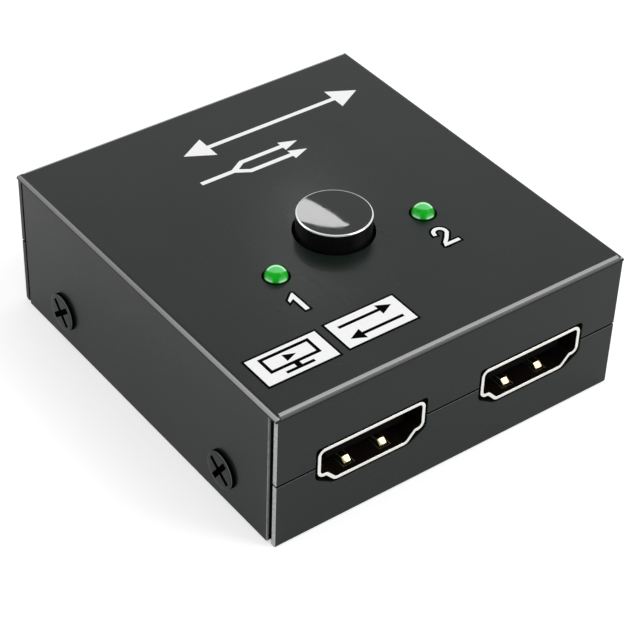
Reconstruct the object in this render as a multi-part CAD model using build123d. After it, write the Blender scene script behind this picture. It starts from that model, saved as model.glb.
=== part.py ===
from build123d import *
import os

# All sizes are in millimetres. The origin is the middle of the case's underside, +Z is up,
# and the wall with two sockets faces -Y.

# Case: two bent sheets of steel
case_width = 49.3
case_depth = 53.2
case_height = 19.0
sheet = 0.7
cover_bend_radius = 0.7
tray_bend_radius = 0.3
seam_height = 9.1
seam_gap = 0.2
panel_setback = 1.35
flange_inset = 0.2
panel_foot_gap = 0.1
tray_clearance = 0.15
tab_length = 9.0
tab_height = 8.3
tab_foot = 2.0
tab_corner = 1.0
tab_relief = 0.4

# Cover screws, two on each side: a shank is a radius and a length, a head is a radius, height and edge
cover_screw_y = 16.8
cover_screw_z = 4.4
cover_screw_radius = 1.5
cover_screw_shank = (cover_screw_radius, 2.6)
cover_screw_head = (2.4, 0.5, 0.15)

# Cross recess of any screw, as shares of its head
recess_share = 0.74
recess_arm_share = 0.12
recess_depth_share = 0.6

# Sockets: the standard opening, its shell and its tongue
opening_half_width = 7.0
opening_step_half_width = 6.05
opening_base_half_width = 4.85
opening_height = 4.55
opening_shoulder = 1.3
opening_corner = 0.55
opening_floor = 6.45
shell_wall = 0.3
shell_length = 11.0
lip_wall = 0.42
lip_depth = 0.6
front_socket_x = 11.5
wall_clearance = 0.3
finger_root = 6.2
finger_tip = 1.05
finger_dimple = 1.65
finger_bow = 0.6
finger_tip_bow = 0.1
finger_thickness = 0.25
finger_gap = 0.25
roof_finger_x = 3.3
roof_finger_width = 1.4
floor_finger_x = 2.5
floor_finger_width = 1.0
leg_width = 1.6
leg_setbacks = (3.0, 9.2)
tongue_setback = 1.3
tongue_chamfer = 0.25
tongue_half_width = 5.6
tongue_low = 1.75
tongue_thickness = 1.3
insulator_front = 6.6
insulator_back = 10.9
insulator_clearance = 0.03
contact_pitch = 1.0
contact_width = 0.3
contact_thickness = 0.18
contact_proud = 0.06
contact_setback = 1.9
contact_bend = 0.3
contact_tail = 12.3
upper_contacts = 10
lower_contacts = 9

# Circuit board, its standoffs and its screws
board_thickness = 1.6
board_width = 43.5
board_depth = 50.8
board_corner = 1.0
board_top = opening_floor - shell_wall
board_bottom = board_top - board_thickness
board_screw_x = 19.0
board_screw_y = 11.0
board_screw_radius = 1.25
board_screw_shank = (board_screw_radius, 4.0)
board_screw_head = (2.25, 1.5, 0.5)
standoff_radius = 2.6
standoff_sides = 6
standoff_spigot_radius = 2.0
pin_drop = 0.9

# Parts on the board, each size as width, length and height
signal_chip_size = (7.0, 7.0, 0.9)
signal_chip_place = (0.0, 7.4)
control_chip_size = (3.9, 4.9, 1.4)
control_chip_place = (13.5, 3.4)
chip_corner = 0.4
capacitor_size = (0.8, 1.6, 0.8)
capacitor_pitch = 1.6
resistor_size = (0.8, 1.6, 0.45)
resistor_pitch = 1.5
diode_size = (1.6, 2.7, 1.1)
diode_pitch = 2.4

# Push button and the self-locking switch under it
button_y = -3.7
button_travel = 2.0
button_rise = 2.5
press_gap = 0.35
cap_radius = 4.55
cap_wall = 1.0
cap_rib = 0.6
cap_edge = 0.35
cap_boss_radius = 2.6
button_hole_radius = 4.9
switch_width = 8.5
switch_wall = 0.8
switch_base_thickness = 0.8
switch_height = 8.6
switch_corner = 0.4
switch_mouth = 3.6
stem_width = 3.2
stem_top_gap = 1.2
plunger_width = 5.0
plunger_block_height = 3.8
spring_radius = 1.35
spring_wire = 0.3
spring_turns = 4.5
spring_sides = 6
spring_pocket = 2.0
switch_pin_top = 12.85
switch_pin_x = 3.1
switch_pin_pitch = 2.2
switch_pin_width = 0.6
switch_pin_thickness = 0.3
latch_wire = 0.5
latch_hook_rise = 0.9
latch_hook_reach = 0.8
latch_track_width = 1.2
latch_track_depth = 0.6
latch_track_roof = 0.6
bridge_thickness = 0.3
bridge_width = 3.4
bridge_height = 2.4
bridge_rise = 0.8

# Indicator lamps
lamp_x = 10.6
lamp_y = -7.0
lamp_radius = 1.475
lamp_centre_rise = -0.1
lamp_barrel = 3.4
lamp_flange_radius = 1.85
lamp_flange_height = 1.0
lamp_hole_radius = 1.65
lead_spacing = 2.54
lead_width = 0.5

# Clearance between two pieces that slide on each other, and in a drilled hole for a pin
slide_clearance = 0.1
hole_clearance = 0.15
thread_clearance = 0.02

half_width = case_width / 2
half_depth = case_depth / 2
inner_half = half_width - sheet
floor_half = inner_half - tray_clearance
cover_under = case_height - sheet
switch_floor = board_top + switch_base_thickness
switch_roof = board_top + switch_height - switch_wall
block_top = switch_roof - slide_clearance
block_low = block_top - plunger_block_height
latch_y = plunger_width / 2 + latch_wire / 2 + slide_clearance
cap_top = case_height + button_rise
cap_low = board_top + switch_height + button_travel + press_gap
cap_height = cap_top - cap_low
stem_top = cap_top - stem_top_gap
upward = (Align.CENTER, Align.CENTER, Align.MIN)
downward = (Align.CENTER, Align.CENTER, Align.MAX)


def block(low, high):
    """A block given by its lowest and highest corners."""
    size = [top - bottom for bottom, top in zip(low, high)]
    middle = [(top + bottom) / 2 for bottom, top in zip(low, high)]
    return Pos(*middle) * Box(*size)


# Case sheets


def folded_lid():
    """A deep lid: its four top edges are bent round outside and folded sharp inside."""
    outside = Box(case_width, case_depth, case_height, align=upward)
    outside = fillet(outside.edges().group_by(Axis.Z)[-1], cover_bend_radius)
    return outside - Box(2 * inner_half, case_depth - 2 * sheet, cover_under, align=upward)


def port_outline(grow=0.0):
    """The socket outline, wide side up, on the XZ plane with the opening's floor at its height."""
    top = opening_height
    points = [
        (-opening_half_width, top),
        (-opening_half_width, opening_shoulder),
        (-opening_step_half_width, opening_shoulder),
        (-opening_base_half_width, 0),
        (opening_base_half_width, 0),
        (opening_step_half_width, opening_shoulder),
        (opening_half_width, opening_shoulder),
        (opening_half_width, top),
    ]
    flat = make_face(FilletPolyline(*points, radius=opening_corner, close=True))
    if grow:
        flat = offset(flat, amount=grow, kind=Kind.ARC)
    return Pos(0, 0, opening_floor) * (Rot(90, 0, 0) * flat)


def wall_cutout():
    """The punched hole that a socket looks out of, cut straight across the shoulders."""
    reach = lip_wall + wall_clearance
    side = opening_half_width + reach
    base = opening_base_half_width + wall_clearance
    points = [(-side, opening_height + reach), (-side, opening_shoulder - lip_wall), (-base, -reach)]
    points += [(-x, z) for x, z in reversed(points)]
    flat = make_face(Polyline(*points, close=True))
    hole = extrude(Rot(90, 0, 0) * flat, amount=3 * sheet, both=True)
    return Pos(0, 0, opening_floor) * hole


def socket_places():
    """Where each socket's mouth is, and its turn about Z."""
    return {
        "front_left": (-front_socket_x, -half_depth, 0),
        "front_right": (front_socket_x, -half_depth, 0),
        "rear": (0.0, half_depth, 180),
    }


def all_cutouts():
    """The three socket holes in the front and rear walls."""
    return [Pos(x, y, 0) * Rot(0, 0, turn) * wall_cutout() for x, y, turn in socket_places().values()]


def side_holes(radius, inner, outer):
    """Round holes for the four cover screws, through a stretch of both sides."""
    holes = []
    for side in (-1, 1):
        for y in (-cover_screw_y, cover_screw_y):
            hole = Rot(0, 90, 0) * Cylinder(radius, outer - inner)
            holes.append(Pos(side * (inner + outer) / 2, y, cover_screw_z) * hole)
    return holes


def corners():
    """The four upright corners of the case, each by its signs along X and Y."""
    return [(x, y) for y in (-1, 1) for x in (-1, 1)]


def flange_ends(top):
    """What is trimmed from the ends of the front and rear walls, up to a height."""
    end = Box(2 * flange_inset, 3 * sheet, 2 * top)
    return [Pos(x * half_width, y * half_depth, 0) * end for x, y in corners()]


def corner_slits(top):
    """The slits between the side panels and the backs of the front and rear walls, up to a height."""
    slit = Box(4 * sheet, panel_setback - sheet, 2 * top)
    middle = half_depth - (panel_setback + sheet) / 2
    return [Pos(x * half_width, y * middle, 0) * slit for x, y in corners()]


def top_cover():
    """Top plate, side panels and the upper halves of the front and rear walls, bent from one sheet."""
    cover = folded_lid()
    slit_top = case_height - cover_bend_radius
    for cut in corner_slits(slit_top) + flange_ends(slit_top):
        cover -= cut
    wall_zone = sheet + tray_clearance / 2
    seam_top = seam_height + seam_gap / 2
    for y in (-half_depth, half_depth):
        lower_half = Box(case_width, 2 * wall_zone, 2 * seam_top)
        cover -= Pos(0, y, 0) * lower_half
    cover -= Box(2 * case_width, 2 * case_depth, 2 * panel_foot_gap)
    for cutout in all_cutouts():
        cover -= cutout
    for hole in side_holes(cover_screw_radius + hole_clearance, half_width - 2 * sheet, half_width + sheet):
        cover -= hole
    through = 4 * sheet
    cover -= Pos(0, button_y, cover_under) * Cylinder(button_hole_radius, through)
    for x in (-lamp_x, lamp_x):
        cover -= Pos(x, lamp_y, cover_under) * Cylinder(lamp_hole_radius, through)
    return cover


def channel(width, length, height):
    """A floor with two upright walls along X, its lower outer edges bent round, standing on the ground."""
    outer = Box(length, width, height, align=upward)
    inner = Box(2 * length, width - 2 * sheet, height, align=upward)
    outer_low = [e for e in outer.edges().filter_by(Axis.X) if e.center().Z < sheet]
    return fillet(outer_low, tray_bend_radius) - Pos(0, 0, sheet) * inner


def bottom_tray():
    """Floor, lower halves of the front and rear walls, and the tabs that the cover screws bite into."""
    tray = channel(case_depth, case_width, seam_height - seam_gap / 2)
    trim_depth = case_depth - 2 * (sheet + tray_clearance / 2)
    for side in (-1, 1):
        tray -= Pos(side * (floor_half + sheet), 0, 0) * Box(2 * sheet, trim_depth, 4 * case_height)
    for end in flange_ends(case_height):
        tray -= end
    for side in (-1, 1):
        for y in (-cover_screw_y, cover_screw_y):
            relief = Box(2 * tab_foot, tab_length + 2 * tab_relief, 4 * sheet)
            tray -= Pos(side * floor_half, y, 0) * relief
    sides = Rot(0, 0, 90) * channel(2 * floor_half, case_depth, tab_height)
    for side in (-1, 1):
        for y in (-cover_screw_y, cover_screw_y):
            window = block(
                (floor_half - tab_foot, -tab_length / 2, 0), (floor_half, tab_length / 2, tab_height)
            )
            window = fillet(window.edges().filter_by(Axis.X).group_by(Axis.Z)[-1], tab_corner)
            if side < 0:
                window = Rot(0, 0, 180) * window
            tray += sides & (Pos(0, y, 0) * window)
    for hole in side_holes(cover_screw_radius + thread_clearance, floor_half - 2 * sheet, half_width):
        tray -= hole
    for cutout in all_cutouts():
        tray -= cutout
    for x, y in board_screw_places():
        tray -= Pos(x, y, 0) * Cylinder(standoff_spigot_radius, 4 * sheet)
    return tray


# Fasteners


def cross_recess(width, depth, top):
    """A cross-shaped recess in a screw head whose top is at a height."""
    slot = Box(width, recess_arm_share * width, 2 * depth)
    return Pos(0, 0, top) * (slot + Rot(0, 0, 90) * slot)


def screw(shank_size, head_size):
    """A screw that points down, with the underside of its head on the ground."""
    radius, height, edge = head_size
    head = Cylinder(radius, height, align=upward)
    head = chamfer(head.edges().group_by(Axis.Z)[-1], edge)
    head -= cross_recess(recess_share * 2 * radius, recess_depth_share * height, height)
    return head + Cylinder(*shank_size, align=downward)


def cover_screws():
    """The four screws that hold the cover to the tray."""
    one = screw(cover_screw_shank, cover_screw_head)
    screws = []
    for side in (-1, 1):
        for y in (-cover_screw_y, cover_screw_y):
            screws.append(Pos(side * half_width, y, cover_screw_z) * (Rot(0, side * 90, 0) * one))
    return Compound(children=screws)


def board_screw_places():
    """Where the board is screwed down."""
    return [(x, y) for y in (-board_screw_y, board_screw_y) for x in (-board_screw_x, board_screw_x)]


def board_screws():
    """The four screws that hold the board on its standoffs."""
    one = screw(board_screw_shank, board_screw_head)
    return Compound(children=[Pos(x, y, board_top) * one for x, y in board_screw_places()])


def board_standoffs():
    """Hexagonal standoffs, each with a round spigot clinched into the floor."""
    post = extrude(RegularPolygon(standoff_radius, standoff_sides), amount=board_bottom - sheet)
    post = Pos(0, 0, sheet) * post + Cylinder(standoff_spigot_radius, sheet, align=upward)
    bore_length = board_bottom - 2 * sheet
    bore = Cylinder(board_screw_radius + thread_clearance, bore_length, align=downward)
    post -= Pos(0, 0, board_bottom) * bore
    return Compound(children=[Pos(x, y, 0) * post for x, y in board_screw_places()])


# Sockets, each drawn with its mouth at Y=0 and its depth towards +Y


def spring_finger(x, width, wall_z, inward):
    """A finger stamped out of a shell wall and bowed inward, which is -1 at the roof and 1 at the floor."""
    profile = [
        (finger_root, wall_z),
        (finger_dimple, wall_z + inward * finger_bow),
        (finger_tip, wall_z + inward * finger_tip_bow),
        (finger_tip, wall_z + inward * (finger_tip_bow - finger_thickness)),
        (finger_dimple, wall_z + inward * (finger_bow - finger_thickness)),
        (finger_root, wall_z - inward * shell_wall),
    ]
    line = Polyline(*[(x - width / 2, y, z) for y, z in profile], close=True)
    return extrude(make_face(line), amount=width, dir=(1, 0, 0))


def socket_shell():
    """Stamped shell with a thicker lip, four spring fingers and four legs through the board."""
    shell = extrude(port_outline(lip_wall), amount=lip_depth, dir=(0, 1, 0))
    shell += extrude(port_outline(shell_wall), amount=shell_length, dir=(0, 1, 0))
    shell -= extrude(port_outline(), amount=shell_length, dir=(0, 1, 0))
    roof = (roof_finger_x, roof_finger_width, opening_floor + opening_height, -1)
    floor = (floor_finger_x, floor_finger_width, opening_floor, 1)
    for x, width, wall_z, inward in (roof, floor):
        window = Box(width + 2 * finger_gap, finger_root - finger_tip + finger_gap, 3 * shell_wall)
        middle = (finger_root + finger_tip - finger_gap) / 2
        for side in (-1, 1):
            shell -= Pos(side * x, middle, wall_z) * window
            shell += spring_finger(side * x, width, wall_z, inward)
    leg_top = opening_floor + opening_height / 2
    leg_low = board_bottom - pin_drop
    for side in (-1, 1):
        for y in leg_setbacks:
            inner = side * opening_half_width
            outer = side * (opening_half_width + shell_wall)
            low = (min(inner, outer), y - leg_width / 2, leg_low)
            high = (max(inner, outer), y + leg_width / 2, leg_top)
            shell += block(low, high)
    return shell


def contact_profile(face_z, outward):
    """Side view of a contact that lies on one face of the tongue and bends down to the board."""
    proud = face_z + outward * contact_proud
    sunk = proud - outward * contact_thickness
    upper = max(proud, sunk)
    lower = min(proud, sunk)
    drop = insulator_back + contact_bend
    return [
        (contact_setback, lower),
        (contact_setback, upper),
        (drop + contact_thickness, upper),
        (drop + contact_thickness, board_top + contact_thickness),
        (contact_tail, board_top + contact_thickness),
        (contact_tail, board_top),
        (drop, board_top),
        (drop, lower),
    ]


def contact_row(count, face_z, outward):
    """A row of contacts at the standard pitch, centred on the socket."""
    row = []
    profile = contact_profile(face_z, outward)
    for index in range(count):
        x = (index - (count - 1) / 2) * contact_pitch - contact_width / 2
        line = Polyline(*[(x, y, z) for y, z in profile], close=True)
        row.append(extrude(make_face(line), amount=contact_width, dir=(1, 0, 0)))
    return row


def socket_contacts():
    """Nineteen contacts, ten above the tongue and nine below it."""
    low = opening_floor + tongue_low
    high = low + tongue_thickness
    return contact_row(upper_contacts, high, 1) + contact_row(lower_contacts, low, -1)


def socket_insulator():
    """Moulded block that fills the back of the shell, with the tongue that carries the contacts."""
    body = extrude(
        port_outline(-insulator_clearance), amount=insulator_back - insulator_front, dir=(0, 1, 0)
    )
    body = Pos(0, insulator_front, 0) * body
    low = opening_floor + tongue_low
    tongue = block(
        (-tongue_half_width, tongue_setback, low),
        (tongue_half_width, insulator_back, low + tongue_thickness),
    )
    tongue = chamfer(tongue.edges().group_by(Axis.Y)[0], tongue_chamfer)
    body += tongue
    for contact in socket_contacts():
        body -= contact
    return body


def at_socket(name, shape):
    """The shape moved from the drawing position to a named socket."""
    x, y, turn = socket_places()[name]
    return Pos(x, y, 0) * (Rot(0, 0, turn) * shape)


# Circuit board


def circuit_board():
    """The board, with its holes for screws, socket legs, switch pins and lamp leads."""
    board = Box(board_width, board_depth, board_thickness, align=upward)
    board = fillet(board.edges().filter_by(Axis.Z), board_corner)
    board = Pos(0, 0, board_bottom) * board
    deep = 4 * board_thickness
    for x, y in board_screw_places():
        board -= Pos(x, y, board_top) * Cylinder(board_screw_radius + hole_clearance, deep)
    slot = Box(shell_wall + 2 * hole_clearance, leg_width + 2 * hole_clearance, deep)
    for name in socket_places():
        for side in (-1, 1):
            for y in leg_setbacks:
                middle = side * (opening_half_width + shell_wall / 2)
                board -= at_socket(name, Pos(middle, y, board_top) * slot)
    for x, y in switch_pin_places():
        hole = Box(switch_pin_thickness + 2 * hole_clearance, switch_pin_width + 2 * hole_clearance, deep)
        board -= Pos(x, y, board_top) * hole
    for lamp in (-lamp_x, lamp_x):
        for side in (-1, 1):
            place = Pos(lamp + side * lead_spacing / 2, lamp_y, board_top)
            board -= place * Box(lead_width + 2 * hole_clearance, lead_width + 2 * hole_clearance, deep)
    return board


def chip(size, place):
    """A moulded chip on the board, with a chamfered pin-one corner."""
    body = Box(*size, align=upward)
    corner = body.edges().filter_by(Axis.Z).sort_by(lambda e: e.center().X + e.center().Y)[0]
    return Pos(*place, board_top) * chamfer(corner, chip_corner)


def chip_row(count, pitch, size, middle):
    """A row of small surface-mounted parts along X, about its middle."""
    x, y = middle
    row = []
    for index in range(count):
        place = Pos(x + (index - (count - 1) / 2) * pitch, y, board_top)
        row.append(place * Box(*size, align=upward))
    return row


def ceramic_capacitors():
    """Blocking capacitors in front of the rear socket and beside the large chip."""
    rear = chip_row(6, capacitor_pitch, capacitor_size, (0.0, 12.6))
    left = chip_row(3, capacitor_pitch, capacitor_size, (-12.0, 7.0))
    return Compound(children=rear + left)


def resistors():
    """Pull-up and lamp resistors."""
    left = chip_row(5, resistor_pitch, resistor_size, (-12.0, 2.0))
    right = chip_row(4, resistor_pitch, resistor_size, (13.0, -1.5))
    return Compound(children=left + right)


def supply_diodes():
    """Diodes that take the supply from whichever socket has it, one for each socket."""
    return Compound(children=chip_row(3, diode_pitch, diode_size, (13.0, 9.0)))


# Push switch and button


def switch_housing():
    """Moulded box of the switch, open below, with a square mouth for the stem."""
    body = Box(switch_width, switch_width, switch_height - switch_base_thickness, align=upward)
    body = Pos(0, 0, switch_floor) * fillet(body.edges().filter_by(Axis.Z), switch_corner)
    cavity_width = switch_width - 2 * switch_wall
    cavity = Box(cavity_width, cavity_width, switch_roof - switch_floor, align=upward)
    body -= Pos(0, 0, switch_floor) * cavity
    body -= Pos(0, 0, switch_roof) * Box(switch_mouth, switch_mouth, 4 * switch_wall)
    return Pos(0, button_y, 0) * body


def switch_base():
    """Plate that closes the switch below and carries its pins and the latch pin's foot."""
    plate = Box(switch_width, switch_width, switch_base_thickness, align=upward)
    plate = Pos(0, button_y, board_top) * plate
    for x, y in switch_pin_places():
        hole = Box(switch_pin_thickness, switch_pin_width, 4 * switch_base_thickness)
        plate -= Pos(x, y, board_top) * hole
    plate -= Pos(0, button_y + latch_y, board_top) * Cylinder(latch_wire / 2, 4 * switch_base_thickness)
    return plate


def switch_pin_places():
    """Two rows of three pins."""
    return [
        (side * switch_pin_x, button_y + step * switch_pin_pitch)
        for side in (-1, 1)
        for step in (-1, 0, 1)
    ]


def switch_pins():
    """Six flat pins that rise beside the plunger and pass through the board."""
    low = board_bottom - pin_drop
    pin = Box(switch_pin_thickness, switch_pin_width, switch_pin_top - low, align=upward)
    return Compound(children=[Pos(x, y, low) * pin for x, y in switch_pin_places()])


def latch_pin():
    """Wire that stands on the base and hooks into the track in the plunger's side."""
    shaft_top = block_low + latch_hook_rise
    shaft = Cylinder(latch_wire / 2, shaft_top - board_top, align=upward)
    hook = Rot(90, 0, 0) * Cylinder(latch_wire / 2, latch_hook_reach, align=upward)
    shaft = Pos(0, 0, board_top) * shaft
    hook = Pos(0, 0, shaft_top - latch_wire / 2) * hook
    return Pos(0, button_y + latch_y, 0) * (shaft + hook)


def switch_plunger():
    """Block that slides in the housing, with its stem, spring pocket and latch track."""
    body = Box(plunger_width, plunger_width, plunger_block_height, align=upward)
    body = Pos(0, 0, block_low) * body
    stem = Box(stem_width, stem_width, stem_top - block_low, align=upward)
    body += Pos(0, 0, block_low) * stem
    pocket = Cylinder(spring_radius + spring_wire, spring_pocket, align=upward)
    body -= Pos(0, 0, block_low) * pocket
    track = Box(
        latch_track_width, latch_track_depth, plunger_block_height - latch_track_roof, align=upward
    )
    body -= Pos(0, (plunger_width - latch_track_depth) / 2, block_low) * track
    return Pos(0, button_y, 0) * body


def contact_bridges():
    """Two spring plates on the plunger that join the pins in pairs."""
    plate = Box(bridge_thickness, bridge_width, bridge_height, align=upward)
    reach = (plunger_width + bridge_thickness) / 2
    return Compound(children=[Pos(x, button_y, block_low + bridge_rise) * plate for x in (-reach, reach)])


def return_spring():
    """Coil spring between the base and the roof of the plunger's pocket, its wire many-sided."""
    low = switch_floor + spring_wire / 2
    high = block_low + spring_pocket - spring_wire / 2
    path = Helix(pitch=(high - low) / spring_turns, height=high - low, radius=spring_radius)
    section = Plane(origin=path @ 0, z_dir=path % 0) * RegularPolygon(spring_wire / 2, spring_sides)
    return Pos(0, button_y, low) * sweep(section, path=path)


def button_cap():
    """Round cap with a chamfered rim, hollow below, gripping the stem with a boss."""
    cap = Cylinder(cap_radius, cap_height, align=upward)
    cap = chamfer(cap.edges().group_by(Axis.Z)[-1], cap_edge)
    hollow = Cylinder(cap_radius - cap_wall, cap_height - cap_wall, align=upward)
    boss = Cylinder(cap_boss_radius, cap_height - cap_wall, align=upward)
    rib = Box(2 * (cap_radius - cap_wall), cap_rib, cap_height - cap_wall, align=upward)
    cap = cap - hollow + boss + rib + Rot(0, 0, 90) * rib
    cap = Pos(0, button_y, cap_low) * cap
    grip = Box(stem_width, stem_width, stem_top - cap_low, align=upward)
    return cap - Pos(0, button_y, cap_low) * grip


# Lamps


def lamp_lens(x):
    """Round lens with a flange below and a domed end through the cover."""
    centre = case_height + lamp_centre_rise
    foot = centre - lamp_barrel - lamp_flange_height
    barrel = Cylinder(lamp_radius, lamp_barrel + lamp_flange_height, align=upward)
    flange = Cylinder(lamp_flange_radius, lamp_flange_height, align=upward)
    lens = Pos(0, 0, foot) * (barrel + flange) + Pos(0, 0, centre) * Sphere(lamp_radius)
    return Pos(x, lamp_y, 0) * lens


def lamp_leads(x):
    """Two square wires from the lens down through the board."""
    high = case_height + lamp_centre_rise - lamp_barrel - lamp_flange_height
    low = board_bottom - pin_drop
    lead = Box(lead_width, lead_width, high - low, align=upward)
    reach = lead_spacing / 2
    return Compound(children=[Pos(x + side, lamp_y, low) * lead for side in (-reach, reach)])


def all_parts():
    """Every node of the assembly by name."""
    parts = {
        "top_cover": top_cover(),
        "bottom_tray": bottom_tray(),
        "cover_screws": cover_screws(),
        "circuit_board": circuit_board(),
        "board_standoffs": board_standoffs(),
        "board_screws": board_screws(),
        "signal_chip": chip(signal_chip_size, signal_chip_place),
        "control_chip": chip(control_chip_size, control_chip_place),
        "ceramic_capacitors": ceramic_capacitors(),
        "resistors": resistors(),
        "supply_diodes": supply_diodes(),
        "switch_housing": switch_housing(),
        "switch_base": switch_base(),
        "switch_pins": switch_pins(),
        "latch_pin": latch_pin(),
        "return_spring": return_spring(),
        "switch_plunger": switch_plunger(),
        "contact_bridges": contact_bridges(),
        "button_cap": button_cap(),
    }
    shell = socket_shell()
    insulator = socket_insulator()
    contacts = Compound(children=socket_contacts())
    for name in socket_places():
        parts[f"{name}_socket_shell"] = at_socket(name, shell)
        parts[f"{name}_socket_insulator"] = at_socket(name, insulator)
        parts[f"{name}_socket_contacts"] = at_socket(name, contacts)
    for number, x in ((1, -lamp_x), (2, lamp_x)):
        parts[f"lamp_{number}_lens"] = lamp_lens(x)
        parts[f"lamp_{number}_leads"] = lamp_leads(x)
    return parts


os.makedirs("parts", exist_ok=True)
for node, shape in all_parts().items():
    export_step(shape, f"parts/{node}.step")
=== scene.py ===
# %% [markdown]
# # Dressing a small metal switch box
# The box is a video switch, about 50 mm square: two bent sheets of dark painted steel, a round push button
# and two green lamps on the lid, two sockets in the front wall and one in the rear wall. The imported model
# already has every part at its real size. This script loads it as a fixed frame and gives each visible part
# the edges, prints and finishes that the real one shows. All lengths in Blender are metres.
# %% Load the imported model
import math

import bmesh
import bpy
from mathutils import Matrix, Vector


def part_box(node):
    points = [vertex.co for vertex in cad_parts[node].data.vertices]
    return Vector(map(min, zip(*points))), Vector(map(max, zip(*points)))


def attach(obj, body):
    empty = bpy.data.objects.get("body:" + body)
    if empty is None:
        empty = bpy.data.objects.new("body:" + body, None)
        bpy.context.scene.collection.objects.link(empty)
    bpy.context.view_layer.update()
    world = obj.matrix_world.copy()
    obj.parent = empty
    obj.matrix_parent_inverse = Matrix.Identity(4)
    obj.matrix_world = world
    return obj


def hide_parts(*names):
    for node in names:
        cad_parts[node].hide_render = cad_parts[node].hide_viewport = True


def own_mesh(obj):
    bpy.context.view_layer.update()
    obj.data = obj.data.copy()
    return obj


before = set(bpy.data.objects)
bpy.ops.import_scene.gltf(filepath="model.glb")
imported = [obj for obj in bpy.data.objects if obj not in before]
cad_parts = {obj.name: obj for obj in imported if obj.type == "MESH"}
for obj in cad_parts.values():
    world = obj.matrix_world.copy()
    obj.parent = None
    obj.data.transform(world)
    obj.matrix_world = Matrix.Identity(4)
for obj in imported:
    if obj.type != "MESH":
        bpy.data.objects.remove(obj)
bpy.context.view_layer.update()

MM = 0.001
print("nodes loaded:", len(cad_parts))

# %% [markdown]
# ## The camera
# The photograph was taken from above the front left corner with a long lens, so its edges hardly converge.
# The angles below were found by matching the corners of the case. A camera can be aimed by a constraint,
# but a plain matrix built from its own right, up and backward directions also gives the slight roll.
# %% Camera
CAMERA_AZIMUTH = math.radians(-38.019)
CAMERA_ELEVATION = math.radians(39.277)
CAMERA_ROLL = math.radians(2.209)
CAMERA_DISTANCE = 255.67 * MM
FOCAL_PIXELS = 2083.3
IMAGE_PIXELS = 640
AIM = Vector((1.759, 0.499, 1.811)) * MM


def camera_axes():
    """The camera's right, up and backward directions."""
    flat = math.cos(CAMERA_ELEVATION)
    back = Vector((
        math.sin(CAMERA_AZIMUTH) * flat,
        -math.cos(CAMERA_AZIMUTH) * flat,
        math.sin(CAMERA_ELEVATION),
    ))
    level = Vector((0, 0, 1)).cross(back).normalized()
    upright = back.cross(level)
    right = math.cos(CAMERA_ROLL) * level + math.sin(CAMERA_ROLL) * upright
    up = math.cos(CAMERA_ROLL) * upright - math.sin(CAMERA_ROLL) * level
    return right, up, back


right_axis, up_axis, back_axis = camera_axes()
camera_place = AIM + CAMERA_DISTANCE * back_axis
camera = bpy.data.objects.new("camera", bpy.data.cameras.new("camera"))
camera.data.sensor_width = 36
camera.data.lens = FOCAL_PIXELS / IMAGE_PIXELS * camera.data.sensor_width
camera.data.clip_start = 0.01
camera.matrix_world = Matrix.Translation(camera_place) @ Matrix((right_axis, up_axis, back_axis)).transposed().to_4x4()
bpy.context.scene.collection.objects.link(camera)
bpy.context.scene.camera = camera
bpy.context.scene.view_settings.view_transform = "Standard"
print("lens", round(camera.data.lens, 1), "mm")

# %% [markdown]
# ## The studio
# The object stands on a plain pale floor under an even white sky, as in a catalogue picture. Two soft
# panels, one behind the left side and one in front of the right side, light it from both sides, and the bent
# edges of the case mirror them a little; the light bands on those edges are painted highlights in the case
# paint. The floor gets a little of its white only where the camera, a mirror or glass looks at it, so that it
# is as white as the sky and still keeps the shadow.
# %% Floor, sky and lamps
FLOOR_HALF = 6.0
SKY_LIGHT = 0.64
FLOOR_COLOUR = (0.82, 0.82, 0.82, 1)
FLOOR_LIFT = 0.45
FLOOR_MIRRORED = 0.13


def for_rays(nodes, links, to_camera, to_mirrors):
    """A value for camera rays, another for glossy and transmission rays, and 0 for the rays that light things."""
    path = nodes.new("ShaderNodeLightPath")
    total = None
    for kind, value in (("Camera", to_camera), ("Glossy", to_mirrors), ("Transmission", to_mirrors)):
        term = nodes.new("ShaderNodeMath")
        term.operation = "MULTIPLY_ADD"
        links.new(path.outputs[f"Is {kind} Ray"], term.inputs[0])
        term.inputs[1].default_value = value
        term.inputs[2].default_value = 0.0
        if total is not None:
            links.new(total, term.inputs[2])
        total = term.outputs[0]
    return total


def make_floor():
    """A wide pale floor just under the object."""
    mesh = bpy.data.meshes.new("floor")
    corners = [(x * FLOOR_HALF, y * FLOOR_HALF, -0.00002) for x, y in ((-1, -1), (1, -1), (1, 1), (-1, 1))]
    mesh.from_pydata(corners, [], [(0, 1, 2, 3)])
    floor = bpy.data.objects.new("floor", mesh)
    bpy.context.scene.collection.objects.link(floor)
    material = bpy.data.materials.new("floor")
    material.use_nodes = True
    nodes, links = material.node_tree.nodes, material.node_tree.links
    nodes.clear()
    diffuse = nodes.new("ShaderNodeBsdfDiffuse")
    diffuse.inputs["Color"].default_value = FLOOR_COLOUR
    glow = nodes.new("ShaderNodeEmission")
    links.new(for_rays(nodes, links, FLOOR_LIFT, FLOOR_MIRRORED), glow.inputs["Strength"])
    both = nodes.new("ShaderNodeAddShader")
    links.new(diffuse.outputs[0], both.inputs[0])
    links.new(glow.outputs[0], both.inputs[1])
    output = nodes.new("ShaderNodeOutputMaterial")
    links.new(both.outputs[0], output.inputs["Surface"])
    mesh.materials.append(material)
    return floor


def make_sky():
    """An even sky, white where it is looked at and dimmer as a source of light."""
    world = bpy.data.worlds.new("sky")
    world.use_nodes = True
    bpy.context.scene.world = world
    nodes, links = world.node_tree.nodes, world.node_tree.links
    background = nodes["Background"]
    background.inputs["Color"].default_value = (1, 1, 1, 1)
    strength = nodes.new("ShaderNodeMapRange")
    strength.inputs["To Min"].default_value = SKY_LIGHT
    strength.inputs["To Max"].default_value = 1.0
    links.new(for_rays(nodes, links, 1.0, 1.0), strength.inputs["Value"])
    links.new(strength.outputs["Result"], background.inputs["Strength"])


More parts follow.
